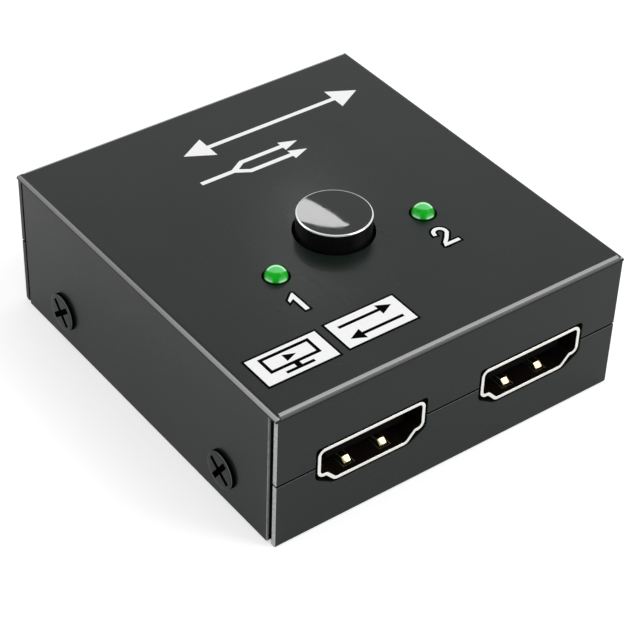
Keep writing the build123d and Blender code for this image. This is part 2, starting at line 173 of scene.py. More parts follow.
def soft_panel(name, direction, distance, width, height, watts):
    """A rectangular lamp that faces the object from a direction."""
    data = bpy.data.lights.new(name, "AREA")
    data.shape = "RECTANGLE"
    data.size = width
    data.size_y = height
    data.energy = watts
    panel = bpy.data.objects.new(name, data)
    away = Vector(direction).normalized()
    panel.location = away * distance
    panel.rotation_euler = away.to_track_quat("Z", "Y").to_euler()
    bpy.context.scene.collection.objects.link(panel)
    return panel


make_floor()
make_sky()
soft_panel("left_panel", (-0.50, 0.61, 0.60), 0.60, 0.30, 0.40, 0.6)
soft_panel("right_panel", (0.47, -0.50, 0.66), 0.60, 0.30, 0.40, 1.6)

# %% [markdown]
# Two cards are seen only in reflections. A dim one dulls the near side of the button's bright ring, as a dark
# room would. A small bright one is cut so that the button's flat top mirrors it as a leaf-shaped patch: each
# of its corners lies on the line from the camera's mirror image through the patch's corner on the button.
# %% Reflected cards
cap_low, cap_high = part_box("button_cap")
MIRROR_HEIGHT = cap_high.z
MIRROR_AXIS = Vector(((cap_low.x + cap_high.x) / 2, (cap_low.y + cap_high.y) / 2, MIRROR_HEIGHT))
PATCH = (
    (-1.5, 5.2), (-1.2, 4.05), (-0.78, 2.74), (-0.49, 1.19), (-0.28, -0.46), (-0.26, -2.06), (0.01, -2.85),
    (-0.48, -2.89), (-1.11, -2.64), (-1.82, -2.23), (-2.56, -1.59), (-3.18, -0.77), (-3.64, -0.03),
    (-4.3, 1.0), (-5.0, 2.2), (-5.4, 3.8), (-4.4, 5.2), (-2.6, 5.6),
)
CARD_REACH = 0.35
mirrored_camera = Vector((camera_place.x, camera_place.y, 2 * MIRROR_HEIGHT - camera_place.z))


def reflected_card(name, corners, brightness):
    """A flat card that only mirrors see. It gives no light and isn't seen by the camera."""
    mesh = bpy.data.meshes.new(name)
    mesh.from_pydata(corners, [], [range(len(corners))])
    card = bpy.data.objects.new(name, mesh)
    bpy.context.scene.collection.objects.link(card)
    material = bpy.data.materials.new(name)
    material.use_nodes = True
    nodes, links = material.node_tree.nodes, material.node_tree.links
    nodes.clear()
    path = nodes.new("ShaderNodeLightPath")
    clear = nodes.new("ShaderNodeBsdfTransparent")
    white = nodes.new("ShaderNodeEmission")
    white.inputs["Strength"].default_value = brightness
    choice = nodes.new("ShaderNodeMixShader")
    links.new(path.outputs["Is Glossy Ray"], choice.inputs[0])
    links.new(clear.outputs[0], choice.inputs[1])
    links.new(white.outputs[0], choice.inputs[2])
    output = nodes.new("ShaderNodeOutputMaterial")
    links.new(choice.outputs[0], output.inputs["Surface"])
    mesh.materials.append(material)
    for side in ("visible_camera", "visible_diffuse", "visible_shadow", "visible_transmission"):
        setattr(card, side, False)
    return card


patch_corners = []
for across, along in PATCH:
    on_button = MIRROR_AXIS + Vector((across * MM, along * MM, 0))
    patch_corners.append(on_button + CARD_REACH * (on_button - mirrored_camera))
reflected_card("button_card", patch_corners, 11.5)
CARD_HEIGHT = 0.5
BEHIND_CAMERA = (
    (0.38, -0.44), (0.15, -0.33), (-0.02, -0.20), (-0.10, -0.13), (-0.20, -0.08), (-0.34, 0.04), (-0.50, 0.26),
    (-3.0, 1.6), (-3.0, -3.0), (2.6, -3.0))
reflected_card("dim_card", [(x, y, CARD_HEIGHT) for x, y in BEHIND_CAMERA], 0.36)

# %% [markdown]
# ## Helpers for finishes
# Every finish below is a Principled shader with a few noise textures behind it. They all read Object
# coordinates: the parts keep their place in the mesh, so these are simply the coordinates of the drawing.
# %% Helpers for finishes
finishes = {}


class Finish:
    """A material under construction: its nodes, its links, its Principled shader and its coordinates."""

    def __init__(self, name, colour, roughness, metallic=0.0):
        self.material = bpy.data.materials.new(name)
        self.material.use_nodes = True
        self.nodes = self.material.node_tree.nodes
        self.links = self.material.node_tree.links
        self.shader = self.nodes["Principled BSDF"]
        self.colour = (*colour, 1)
        self.set("Base Color", self.colour)
        self.set("Roughness", roughness)
        self.set("Metallic", metallic)
        coordinates = self.nodes.new("ShaderNodeTexCoord")
        self.place = coordinates.outputs["Object"]
        finishes[name] = self.material

    def set(self, socket, value):
        """Sets one of the shader's own sockets."""
        self.shader.inputs[socket].default_value = value

    def noise(self, size, detail=3.0, stretch=(1, 1, 1)):
        """A noise whose blotches are about size metres across."""
        mapping = self.nodes.new("ShaderNodeMapping")
        mapping.inputs["Scale"].default_value = stretch
        self.links.new(self.place, mapping.inputs["Vector"])
        noise = self.nodes.new("ShaderNodeTexNoise")
        noise.inputs["Scale"].default_value = 1 / size
        noise.inputs["Detail"].default_value = detail
        self.links.new(mapping.outputs["Vector"], noise.inputs["Vector"])
        return noise.outputs["Fac"]

    def spread(self, value, low, high, start=0.3, end=0.7):
        """A value from start to end, turned into one from low to high."""
        spread = self.nodes.new("ShaderNodeMapRange")
        spread.inputs["From Min"].default_value = start
        spread.inputs["From Max"].default_value = end
        spread.inputs["To Min"].default_value = low
        spread.inputs["To Max"].default_value = high
        self.links.new(value, spread.inputs["Value"])
        return spread.outputs["Result"]

    def blend(self, share, first, second):
        """A colour between two colours or colour sockets."""
        mix = self.nodes.new("ShaderNodeMix")
        mix.data_type = "RGBA"
        self.links.new(share, mix.inputs["Factor"])
        for socket, value in (("A", first), ("B", second)):
            slot = [i for i in mix.inputs if i.name == socket and i.type == "RGBA"][0]
            if isinstance(value, tuple):
                slot.default_value = (*value[:3], 1)
            else:
                self.links.new(value, slot)
        return [o for o in mix.outputs if o.type == "RGBA"][0]

    def feed(self, socket, value):
        """Links a value into one of the shader's sockets."""
        self.links.new(value, self.shader.inputs[socket])

    def math(self, operation, first, second=0.0):
        """A number worked out from two others."""
        node = self.nodes.new("ShaderNodeMath")
        node.operation = operation
        for slot, value in zip(node.inputs, (first, second)):
            if isinstance(value, (int, float)):
                slot.default_value = value
            else:
                self.links.new(value, slot)
        return node.outputs[0]

    def parts(self, vector):
        """The X, Y and Z of a vector."""
        split = self.nodes.new("ShaderNodeSeparateXYZ")
        self.links.new(vector, split.inputs[0])
        return split.outputs

    def facing(self):
        """The X, Y and Z of the direction that the surface faces."""
        return self.parts(self.nodes.new("ShaderNodeNewGeometry").outputs["Normal"])

    def bump(self, height, depth, strength=1.0, under=None):
        """A relief of the given depth in metres, over another relief if there is one."""
        bump = self.nodes.new("ShaderNodeBump")
        bump.inputs["Distance"].default_value = depth
        bump.inputs["Strength"].default_value = strength
        self.links.new(height, bump.inputs["Height"])
        if under is not None:
            self.links.new(under, bump.inputs["Normal"])
        self.links.new(bump.outputs["Normal"], self.shader.inputs["Normal"])
        return bump.outputs["Normal"]


# %% [markdown]
# ## The case paint
# The sheets are painted a charcoal black with a satin surface. Close up such paint has a fine orange peel,
# slightly uneven gloss and a little dust. Along the top edges the bends carry painted highlights: pale
# stripes with dark lines of painted shade as their borders, laid into the paint colour and fading along each
# edge. Each bend is a quarter of a circle, so how far out and down a point lies tells where it is round
# the bend.
# %% Case paint
PAINT_COLOUR = (0.0072, 0.0112, 0.0088)
PAINT_GLOSS = 0.27
cover_low, cover_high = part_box("top_cover")
BEND_RADIUS = 0.7 * MM
LID = cover_high.z / MM
# The stripe levels are painted highlights with lines of painted shade between them, and the fades dim them along each
# edge.
SHADE_LINE = 0.002
SIDE_HIGHLIGHT_STRIPE = ((0.0, None), (0.21, SHADE_LINE), (0.305, 0.37), (0.82, SHADE_LINE), (1.0, None))
FRONT_HIGHLIGHT_STRIPE = ((0.0, None), (0.03, 0.36), (0.39, 0.095), (0.78, SHADE_LINE), (0.94, None))
SIDE_HIGHLIGHT_FADE = 0.60
FRONT_HIGHLIGHT_FADE = 0.92


def around_bend(paint, out, height, edge):
    """How far round a bend a point lies: 0 at the lid, 1 at the wall, and more than that below."""
    past = paint.math("SUBTRACT", out, edge - BEND_RADIUS)
    down = paint.math("SUBTRACT", cover_high.z, height)
    return paint.math("DIVIDE", paint.math("ADD", past, down), 2 * BEND_RADIUS)


def stripes(paint, place, levels):
    """A colour and a share from (start, level) pairs: a level that is None leaves the paint as it is."""
    ramp = paint.nodes.new("ShaderNodeValToRGB")
    ramp.color_ramp.interpolation = "CONSTANT"
    stops = ramp.color_ramp.elements
    stops[0].position, stops[-1].position = levels[0][0], levels[-1][0]
    for start, level in levels[1:-1]:
        stops.new(start)
    for stop, (start, level) in zip(stops, levels):
        stop.color = (0, 0, 0, 0) if level is None else (level, 1.01 * level, level, 1)
    paint.links.new(place, ramp.inputs["Fac"])
    return ramp.outputs["Color"], ramp.outputs["Alpha"]


def faded(paint, colour, place, near, far, fade):
    """A colour that goes down to a share of itself between two places."""
    dimmed = paint.nodes.new("ShaderNodeVectorMath")
    dimmed.operation = "MULTIPLY"
    paint.links.new(colour, dimmed.inputs[0])
    paint.links.new(paint.spread(place, 1.0, fade, near, far), dimmed.inputs[1])
    return dimmed.outputs[0]


def painted_bend_highlights(paint, shade):
    """The colour with the painted highlights and shade lines of the side bends and the front and rear bends over it."""
    where = paint.parts(paint.place)
    across, along = (paint.math("ABSOLUTE", where[axis]) for axis in ("X", "Y"))
    colour, share = stripes(paint, around_bend(paint, across, where["Z"], cover_high.x), SIDE_HIGHLIGHT_STRIPE)
    on_side = paint.math("GREATER_THAN", across, cover_high.x - 1.2 * BEND_RADIUS)
    short = paint.math("LESS_THAN", along, cover_high.y - 0.15 * BEND_RADIUS)
    side = paint.math("MULTIPLY", share, paint.math("MULTIPLY", on_side, short))
    shade = paint.blend(side, shade, faded(paint, colour, where["Y"], cover_low.y, 0, SIDE_HIGHLIGHT_FADE))
    colour, share = stripes(paint, around_bend(paint, along, where["Z"], cover_high.y), FRONT_HIGHLIGHT_STRIPE)
    on_front = paint.math("GREATER_THAN", along, cover_high.y - 1.2 * BEND_RADIUS)
    between = paint.math("LESS_THAN", across, cover_high.x - 0.97 * BEND_RADIUS)
    front = paint.math("MULTIPLY", share, paint.math("MULTIPLY", on_front, between))
    return paint.blend(front, shade, faded(paint, colour, where["X"], cover_low.x, cover_high.x, FRONT_HIGHLIGHT_FADE))


def satin_paint(name, colour, striped):
    """Satin paint with orange peel, cloudy gloss and fine dust, and painted highlights on the bends when striped."""
    paint = Finish(name, colour, 0.27)
    paint.set("Specular IOR Level", PAINT_GLOSS)
    cloud = paint.noise(0.009, 2.0)
    shade = paint.blend(
        paint.spread(cloud, 0, 1),
        tuple(0.92 * c for c in colour),
        tuple(1.10 * c for c in colour),
    )
    dust = paint.spread(paint.noise(0.00035, 2.0), 0, 0.06, 0.66, 0.80)
    shade = paint.blend(dust, shade, (0.20, 0.20, 0.19))
    if striped:
        shade = painted_bend_highlights(paint, shade)
    paint.feed("Base Color", shade)
    paint.feed("Roughness", paint.spread(cloud, 0.24, 0.31))
    peel = paint.bump(paint.noise(0.0007, 2.0), 0.000006)
    paint.bump(paint.noise(0.00012, 2.0), 0.0000015, under=peel)
    return paint


satin_paint("case_paint", PAINT_COLOUR, True)
satin_paint("tray_paint", PAINT_COLOUR, False)
print("finishes:", list(finishes))

# %% [markdown]
# ## Sheared ends, painted highlights and painted shade
# The sheets are sheared before they are painted, and paint draws back from a sharp edge. The front ends of
# the side panels get a light painted highlight on their outer corner and black painted shade deeper in the
# slit. The ends of the front flanges are nearly unpainted metal, made pale only at the front, which is also a
# painted highlight. The two edges that meet in the seam are in its shade and are coloured dead black as
# painted shade, and the upward bevel on the upper corner of the tray, worn a little by the cover, is a little
# lighter as a painted highlight.
# %% Sheared edges and bare ends
# Painted shade: dead black for the faces in the seam.
shade_black = Finish("shade_black", (0.002, 0.002, 0.002), 0.8)
shade_black.set("Specular IOR Level", 0.0)
shade_black.feed("Roughness", shade_black.spread(shade_black.noise(0.0008), 0.7, 0.9))
shade_black.bump(shade_black.noise(0.0002, 2.0), 0.000004)

# Paint worn lighter by the cover, on the upward bevel in the seam; its lightness is also a painted highlight.
worn_paint_highlight = Finish("worn_paint_highlight", (0.13, 0.133, 0.13), 0.4)
worn_paint_highlight.feed("Roughness", worn_paint_highlight.spread(worn_paint_highlight.noise(0.0006), 0.34, 0.46))
worn_paint_highlight.bump(worn_paint_highlight.noise(0.0002, 2.0), 0.000003)

# The front ends of the flanges: unpainted sheared metal with shear marks, pale as a painted highlight.
bare_shine = Finish("bare_end_highlight", (0.55, 0.56, 0.56), 0.38, 0.4)
shear_marks = bare_shine.noise(0.0004, 3.0, (1, 6, 1))
bare_shine.feed("Base Color", bare_shine.blend(bare_shine.spread(shear_marks, 0, 1), (0.36, 0.37, 0.37), (0.66, 0.67, 0.67)))
bare_shine.feed("Roughness", bare_shine.spread(shear_marks, 0.46, 0.32))
bare_shine.bump(shear_marks, 0.000006)

# The front ends of the side panels: a light painted highlight on the outer corner, black painted shade deeper in the
# slit.
HIGHLIGHT_CORNER = 0.27 * MM
panel_end_light_and_shade = Finish("panel_end_light_and_shade", (0.3, 0.3, 0.3), 0.5)
out = panel_end_light_and_shade.math("ABSOLUTE", panel_end_light_and_shade.parts(panel_end_light_and_shade.place)["X"])
at_corner = panel_end_light_and_shade.spread(out, 0, 1, cover_high.x - HIGHLIGHT_CORNER - 0.06 * MM, cover_high.x - HIGHLIGHT_CORNER + 0.06 * MM)
grain = panel_end_light_and_shade.spread(panel_end_light_and_shade.noise(0.0005, 3.0), 0, 1)
grey = panel_end_light_and_shade.blend(grain, (0.24, 0.24, 0.24), (0.36, 0.36, 0.36))
panel_end_light_and_shade.feed("Base Color", panel_end_light_and_shade.blend(at_corner, (0.003, 0.003, 0.003), grey))
panel_end_light_and_shade.bump(panel_end_light_and_shade.noise(0.0002, 2.0), 0.000004)

# %% [markdown]
# ## Plating, plastics and the other finishes
# The socket shells are plated a pale gold and are bright only at the lip and on the spring fingers: the
# walls, inside and out, are coloured almost black as painted shade. The button is a glossy black moulding
# with a polished bright ring round its top. The lamps are green lenses with the light of the lamp inside,
# and with painted highlights and painted shade in their colour. The parts inside the case get plain finishes
# with the grain that each material has.
# %% Plated and plastic finishes
rim = Finish("lip_plating", (0.96, 0.96, 0.90), 0.24, 0.25)
rim.feed("Roughness", rim.spread(rim.noise(0.0006), 0.18, 0.30))
rim.bump(rim.noise(0.00015, 2.0), 0.000002)

gold = Finish("contact_gold", (0.95, 0.72, 0.34), 0.2, 1.0)
gold.feed("Roughness", gold.spread(gold.noise(0.0004), 0.14, 0.28))
gold.bump(gold.noise(0.0001, 2.0), 0.000001)

# The shell walls: nearly black as painted shade.
shell_shade = Finish("shell_wall_shade", (0.005, 0.0035, 0.003), 0.38, 0.0)
shell_shade.set("Specular IOR Level", 0.10)
shell_shade.feed("Roughness", shell_shade.spread(shell_shade.noise(0.0008), 0.3, 0.46))
shell_shade.bump(shell_shade.noise(0.0002, 2.0), 0.000003)

# Worn gold on the deeper bevels of the shells, standing in for glints as a painted highlight.
worn_edge_glint = Finish("worn_edge_glint", (0.42, 0.33, 0.22), 0.4, 0.5)
worn_edge_glint.feed("Roughness", worn_edge_glint.spread(worn_edge_glint.noise(0.0005), 0.3, 0.5))
worn_edge_glint.bump(worn_edge_glint.noise(0.00015, 2.0), 0.000002)

ring = Finish("bright_ring", (0.86, 0.87, 0.88), 0.18, 1.0)
ring.feed("Roughness", ring.spread(ring.noise(0.0008), 0.06, 0.13))
ring.bump(ring.noise(0.0001, 2.0), 0.000001)

cap = Finish("cap_gloss", (0.005, 0.008, 0.006), 0.03)
cap.set("Specular IOR Level", 0.34)
cap.feed("Roughness", cap.spread(cap.noise(0.0009, 4.0), 0.015, 0.035))
cap.bump(cap.noise(0.0016, 2.0), 0.0000004)

cap_side = Finish("cap_side", (0.004, 0.004, 0.004), 0.30)
cap_side.set("Specular IOR Level", 0.2)
cap_side.feed("Roughness", cap_side.spread(cap_side.noise(0.0006), 0.24, 0.36))
cap_side.bump(cap_side.noise(0.00015, 2.0), 0.000003)

# The screw heads carry painted light in their colour: the side walls and the cross recess are black painted shade with
# their gloss taken away, and the upper side of the rounded rim is a lighter painted highlight. Only the flat face has
# the case paint.
screw_black = Finish("screw_black", PAINT_COLOUR, 0.3)
screw_black.set("Specular IOR Level", PAINT_GLOSS)
proud = screw_black.math("SUBTRACT", screw_black.math(
    "ABSOLUTE", screw_black.parts(screw_black.place)["X"]), cover_high.x)
on_face = screw_black.spread(proud, 0, 1, 0.27 * MM, 0.33 * MM)
on_top = screw_black.spread(proud, 1, 0, 0.44 * MM, 0.48 * MM)
ways = screw_black.facing()
upward = screw_black.spread(screw_black.math("SUBTRACT", ways["Z"], ways["Y"]), 0, 1, 0.2, 0.7)
flat_on = screw_black.spread(screw_black.math("ABSOLUTE", ways["X"]), 0, 1, 0.25, 0.45)
rubbed_highlight = screw_black.math("MULTIPLY", screw_black.math("MULTIPLY", on_face, on_top), upward)
rubbed_highlight = screw_black.math("MULTIPLY", rubbed_highlight, flat_on)
painted = screw_black.math("MULTIPLY", on_face, flat_on)
screw_paint_and_shade = screw_black.blend(painted, (0.002, 0.002, 0.002), PAINT_COLOUR)
screw_black.feed("Specular IOR Level", screw_black.math("MULTIPLY", painted, PAINT_GLOSS))
screw_black.feed("Base Color", screw_black.blend(rubbed_highlight, screw_paint_and_shade, (0.17, 0.175, 0.17)))
screw_black.feed("Roughness", screw_black.spread(screw_black.noise(0.0004), 0.26, 0.36))
screw_black.bump(screw_black.noise(0.00012, 3.0), 0.000003)

white_ink = Finish("white_ink", (0.89, 0.89, 0.89), 0.6)
white_ink.set("Specular IOR Level", 0.2)
white_ink.feed("Base Color", white_ink.blend(
    white_ink.spread(white_ink.noise(0.0005), 0, 1), (0.87, 0.87, 0.87), (0.91, 0.91, 0.91)))
white_ink.bump(white_ink.noise(0.00012, 2.0), 0.000003)

black_ink = Finish("black_ink", (0.003, 0.003, 0.003), 0.5)
black_ink.set("Specular IOR Level", 0.0)
black_ink.feed("Roughness", black_ink.spread(black_ink.noise(0.0005), 0.42, 0.58))
black_ink.bump(black_ink.noise(0.00012, 2.0), 0.000003)

# The lens colour carries painted light, and the same colour feeds its glow: a pale painted highlight on the side that
# faces up and back, pale painted highlight lobes round the lower part of the dome, a brighter painted highlight where
# that side nears the outline, and dark painted shade just above the lid and along the outline.
HIGHLIGHT_LOBES = 5
HIGHLIGHT_LOBE_TURN = math.radians(128)
HIGHLIGHT_WAY = Vector((0.39, 0.50, 0.77))
SIDE_WAY = Vector((0.79, -0.62, 0.0))
DEEP_GREEN, PALE_HIGHLIGHT_GREEN, MINT_HIGHLIGHT, SHADE_RIM = (0.004, 0.30, 0.008), (0.10, 0.42, 0.135), (0.34, 0.72, 0.38), (0.0, 0.012, 0.001)
lens = Finish("lens_green", DEEP_GREEN, 0.04)
ways = lens.facing()


def along_way(way):
    """How far the surface faces along a direction."""
    terms = [lens.math("MULTIPLY", ways[axis], share) for axis, share in zip("XYZ", way)]
    return lens.math("ADD", lens.math("ADD", terms[0], terms[1]), terms[2])


turn = lens.math("ADD", lens.math("ARCTAN2", ways["Y"], ways["X"]), HIGHLIGHT_LOBE_TURN)
painted_lobes = lens.spread(lens.math("COSINE", lens.math("MULTIPLY", turn, HIGHLIGHT_LOBES)), 1, 0, -0.45, 0.65)
low_down = lens.spread(ways["Z"], 1, 0, 0.30, 0.62)
lowest = lens.spread(ways["Z"], 1, 0, 0.22, 0.36)
sideways = along_way(SIDE_WAY)
backward = lens.math("SUBTRACT", along_way(HIGHLIGHT_WAY), lens.math(
    "MULTIPLY", 0.35, lens.math("MULTIPLY", sideways, sideways)))
painted_crescent = lens.spread(backward, 0, 1, 0.22, 0.32)
glow = lens.blend(lens.spread(lens.noise(0.0012, 1.0), 0, 1), (0.003, 0.27, 0.006), (0.006, 0.34, 0.012))
glow = lens.blend(lens.math("MULTIPLY", painted_lobes, low_down), glow, PALE_HIGHLIGHT_GREEN)
glow = lens.blend(lens.math("MULTIPLY", painted_lobes, lowest), glow, MINT_HIGHLIGHT)
glow = lens.blend(painted_crescent, glow, PALE_HIGHLIGHT_GREEN)
facing = lens.nodes.new("ShaderNodeLayerWeight")
facing.inputs["Blend"].default_value = 0.5
painted_edge_highlight = lens.spread(facing.outputs["Facing"], 0, 1, 0.33, 0.43)
glow = lens.blend(lens.math("MULTIPLY", painted_crescent, painted_edge_highlight), glow, MINT_HIGHLIGHT)
shade_in_hole = lens.spread(lens.parts(lens.place)["Z"], 1, 0, cover_high.z + 0.06 * MM, cover_high.z + 0.20 * MM)
shade_at_outline = lens.spread(facing.outputs["Facing"], 0, 1, 0.52, 0.62)
glow = lens.blend(lens.math("MAXIMUM", shade_in_hole, shade_at_outline), glow, SHADE_RIM)
lens.feed("Base Color", glow)
lens.feed("Emission Color", glow)
lens.set("Emission Strength", 0.45)
lens.set("Specular IOR Level", 0.10)
lens.bump(lens.noise(0.0008, 2.0), 0.000002)


def inside_finish(name, colour, roughness, metallic, grain, depth):
    """A finish for a part inside the case: slightly cloudy, with a fine relief."""
    finish = Finish(name, colour, roughness, metallic)
    cloud = finish.noise(6 * grain)
    finish.feed("Base Color", finish.blend(
        finish.spread(cloud, 0, 1), tuple(0.8 * c for c in colour), tuple(1.15 * c for c in colour)))
    finish.feed("Roughness", finish.spread(cloud, 0.85 * roughness, min(1.0, 1.15 * roughness)))
    finish.bump(finish.noise(grain, 2.0), depth)
    return finish


moulding = inside_finish("socket_plastic", (0.003, 0.002, 0.002), 0.55, 0.0, 0.00020, 0.000004)
moulding.set("Specular IOR Level", 0.02)
inside_finish("board_mask", (0.004, 0.040, 0.016), 0.40, 0.0, 0.00040, 0.000006)
inside_finish("drawn_steel", (0.55, 0.55, 0.55), 0.32, 1.0, 0.00015, 0.000002)
inside_finish("chip_mould", (0.018, 0.018, 0.020), 0.60, 0.0, 0.00010, 0.000006)
inside_finish("capacitor_clay", (0.42, 0.30, 0.19), 0.55, 0.0, 0.00015, 0.000003)
inside_finish("switch_mould", (0.025, 0.025, 0.026), 0.50, 0.0, 0.00020, 0.000005)
inside_finish("brown_laminate", (0.30, 0.18, 0.08), 0.60, 0.0, 0.00030, 0.000006)
inside_finish("plunger_white", (0.74, 0.74, 0.71), 0.42, 0.0, 0.00030, 0.000004)
inside_finish("tinned_wire", (0.70, 0.70, 0.69), 0.38, 1.0, 0.00012, 0.000003)
print("finishes:", len(finishes))

# %% [markdown]
# ## Finishes for the parts that keep their drawn shape
# Most parts inside the case are right as they were drawn, so they only take a finish. Each keeps its own
# mesh, which is never touched.
# %% Finishes on drawn parts
DRAWN_PARTS = {
    "circuit_board": "board_mask",
    "board_standoffs": "drawn_steel",
    "board_screws": "drawn_steel",
    "signal_chip": "chip_mould",
    "control_chip": "chip_mould",
    "ceramic_capacitors": "capacitor_clay",
    "resistors": "chip_mould",
    "supply_diodes": "chip_mould",
    "switch_housing": "switch_mould",
    "switch_base": "brown_laminate",
    "switch_pins": "tinned_wire",
    "latch_pin": "drawn_steel",
    "switch_plunger": "plunger_white",
    "contact_bridges": "contact_gold",
    "lamp_1_leads": "tinned_wire",
    "lamp_2_leads": "tinned_wire",
    "front_left_socket_insulator": "socket_plastic",
    "front_right_socket_insulator": "socket_plastic",
    "rear_socket_insulator": "socket_plastic",
}
for node, finish_name in DRAWN_PARTS.items():
    node_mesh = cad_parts[node].data
    node_mesh.materials.clear()
    node_mesh.materials.append(finishes[finish_name])
print("drawn parts finished:", len(DRAWN_PARTS))

# %% [markdown]
# ## Helpers for shapes
# A drawn sheet has perfectly sharp edges, which never catch the light. So the visible parts are copied from
# the drawing, their loose triangles are merged and their flat areas made whole, and a narrow bevel rounds
# every sharp edge. Normals weighted by face area then keep the flat sheets flat.
# %% Helpers for shapes
SHARP = math.radians(30)


def new_piece(name, mesh, materials, body):
    """A finished mesh as a piece on a body, with its finishes."""
    piece = bpy.data.objects.new(name, mesh)
    bpy.context.scene.collection.objects.link(piece)
    for material in materials:
        mesh.materials.append(finishes[material])
    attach(piece, body)
    return piece


def merged_copy(node):
    """The surface of a drawn part as a new mesh, with whole flat faces."""
    shape = bmesh.new()
    shape.from_mesh(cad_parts[node].data)
    bmesh.ops.remove_doubles(shape, verts=shape.verts, dist=0.001 * MM)
    bmesh.ops.dissolve_limit(shape, angle_limit=math.radians(0.5), verts=shape.verts, edges=shape.edges)
    shape.verts.ensure_lookup_table()
    shape.verts.index_update()
    points = [v.co.copy() for v in shape.verts]
    faces = [[v.index for v in f.verts] for f in shape.faces]
    shape.free()
    mesh = bpy.data.meshes.new(node + "_copy")
    mesh.from_pydata(points, [], faces)
    return mesh


def rounded(mesh, width, edge_finish, segments=2):
    """The mesh with its sharp edges bevelled and its normals weighted. Bevels take the finish of that number."""
    holder = bpy.data.objects.new("holder", mesh)
    bpy.context.scene.collection.objects.link(holder)
    for polygon in mesh.polygons:
        polygon.use_smooth = True
    bevel = holder.modifiers.new("bevel", "BEVEL")
    bevel.width = width
    bevel.segments = segments
    bevel.limit_method = "ANGLE"
    bevel.angle_limit = SHARP
    bevel.use_clamp_overlap = False
    bevel.material = edge_finish
    normals = holder.modifiers.new("normals", "WEIGHTED_NORMAL")
    normals.weight = 100
    graph = bpy.context.evaluated_depsgraph_get()
    result = bpy.data.meshes.new_from_object(holder.evaluated_get(graph), depsgraph=graph)
    bpy.data.objects.remove(holder)
    bpy.data.meshes.remove(mesh)
    return result


# %% [markdown]
# ## The return spring
# The foot of the spring stays on the base of the switch while the button goes down on its head. So the coil
# is a piece of its own.
# %% Return spring
coil_mesh = merged_copy("return_spring")
coil_mesh.name = "return_spring_coil"
for polygon in coil_mesh.polygons:
    polygon.use_smooth = True
coil = new_piece("return_spring_coil", coil_mesh, ["drawn_steel"], "case")
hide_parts("return_spring")
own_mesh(coil)

# %% [markdown]
# ## The case sheets
# The cover is one sheet: the top plate, both full side panels and the upper halves of the front and rear
# walls. The tray is the other, with the floor and the lower halves. Between them run the seam and the narrow
# slots at the corners, where the sheared ends at the front show as bright upright lines, which are painted
# highlights.
# %% Case sheets
SHEET_EDGE = 0.06 * MM
PAINT, SEAM_SHADE, FRONT_END_HIGHLIGHT, SLIT_LIGHT_AND_SHADE, SEAM_BEVEL_HIGHLIGHT = range(5)
SEAM = 9.1


CORNER_ROUND = 0.5 * MM
CUTOUT_HEIGHTS = (5.0 * MM, 12.5 * MM)


def round_cutouts(mesh):
    """Rounds the inner corners of the socket cut-outs, which a punch leaves round."""
    shape = bmesh.new()
    shape.from_mesh(mesh)
    corners = []
    for corner in shape.edges:
        first, second = (v.co for v in corner.verts)
        through = abs(first.y - second.y) > 0.5 * MM and (first - second).xz.length < 0.01 * MM
        at_wall = abs(first.y) > 25.0 * MM and CUTOUT_HEIGHTS[0] < first.z < CUTOUT_HEIGHTS[1]
        if through and at_wall and corner.is_manifold and not corner.is_convex and corner.calc_face_angle(0) > SHARP:
            corners.append(corner)
    bmesh.ops.bevel(shape, geom=corners, offset=CORNER_ROUND, segments=4, profile=0.5, affect="EDGES", clamp_overlap=True)
    shape.to_mesh(mesh)
    shape.free()
    return len(corners)


def sheet_finish(polygon):
    """The finish of a face of a sheet: painted highlight and shade at the cut ends in front, painted shade in the seam
    with a painted highlight on its upward bevel, else paint.
    """
    across, along, height = (v / MM for v in polygon.center)
    across = abs(across)
    if across > 23.9 and -along > 25.6 and abs(polygon.normal.x) > 0.9 and 24.3 < across < 24.6:
        return FRONT_END_HIGHLIGHT
    if across > 23.9 and 25.15 < -along < 25.4 and polygon.normal.y < -0.3:
        return SLIT_LIGHT_AND_SHADE
    if abs(along) < 25.8 or abs(height - SEAM) > 0.3 or abs(polygon.normal.z) < 0.2:
        return PAINT
    return SEAM_BEVEL_HIGHLIGHT if 0.2 < polygon.normal.z < 0.6 else SEAM_SHADE


def case_sheet(node, piece_name, paint):
    """A sheet of the case with rounded edges and its finishes."""
    mesh = merged_copy(node)
    print(piece_name, "cut-out corners rounded:", round_cutouts(mesh))
    for finish_name in (paint, "shade_black", "bare_end_highlight", "panel_end_light_and_shade", "worn_paint_highlight"):
        mesh.materials.append(finishes[finish_name])
    mesh = rounded(mesh, SHEET_EDGE, PAINT)
    counts = [0, 0, 0, 0, 0]
    for polygon in mesh.polygons:
        polygon.material_index = sheet_finish(polygon)
        counts[polygon.material_index] += 1
    mesh.name = piece_name
    piece = new_piece(piece_name, mesh, [], "case")
    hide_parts(node)
    print(piece_name, "faces painted, in the seam, bare, at panel ends and rubbed", counts)
    return piece


case_sheet("top_cover", "cover_sheet", "case_paint")
case_sheet("bottom_tray", "tray_sheet", "tray_paint")

# %% [markdown]
# ## Turned parts
# The button cap and the lamp lenses are round, so each is one profile turned about its axis. The profile is
# a list of radius and height pairs that runs from the axis round the outside and back to the axis.
# %% Turned parts
def arc(radius_at, height_at, radius, start, end, steps):
    """Points of a profile along an arc, whose angles are in degrees from straight outwards."""
    points = []
    for step in range(steps + 1):
        angle = math.radians(start + (end - start) * step / steps)
        points.append((radius_at + radius * math.cos(angle), height_at + radius * math.sin(angle)))
    return points


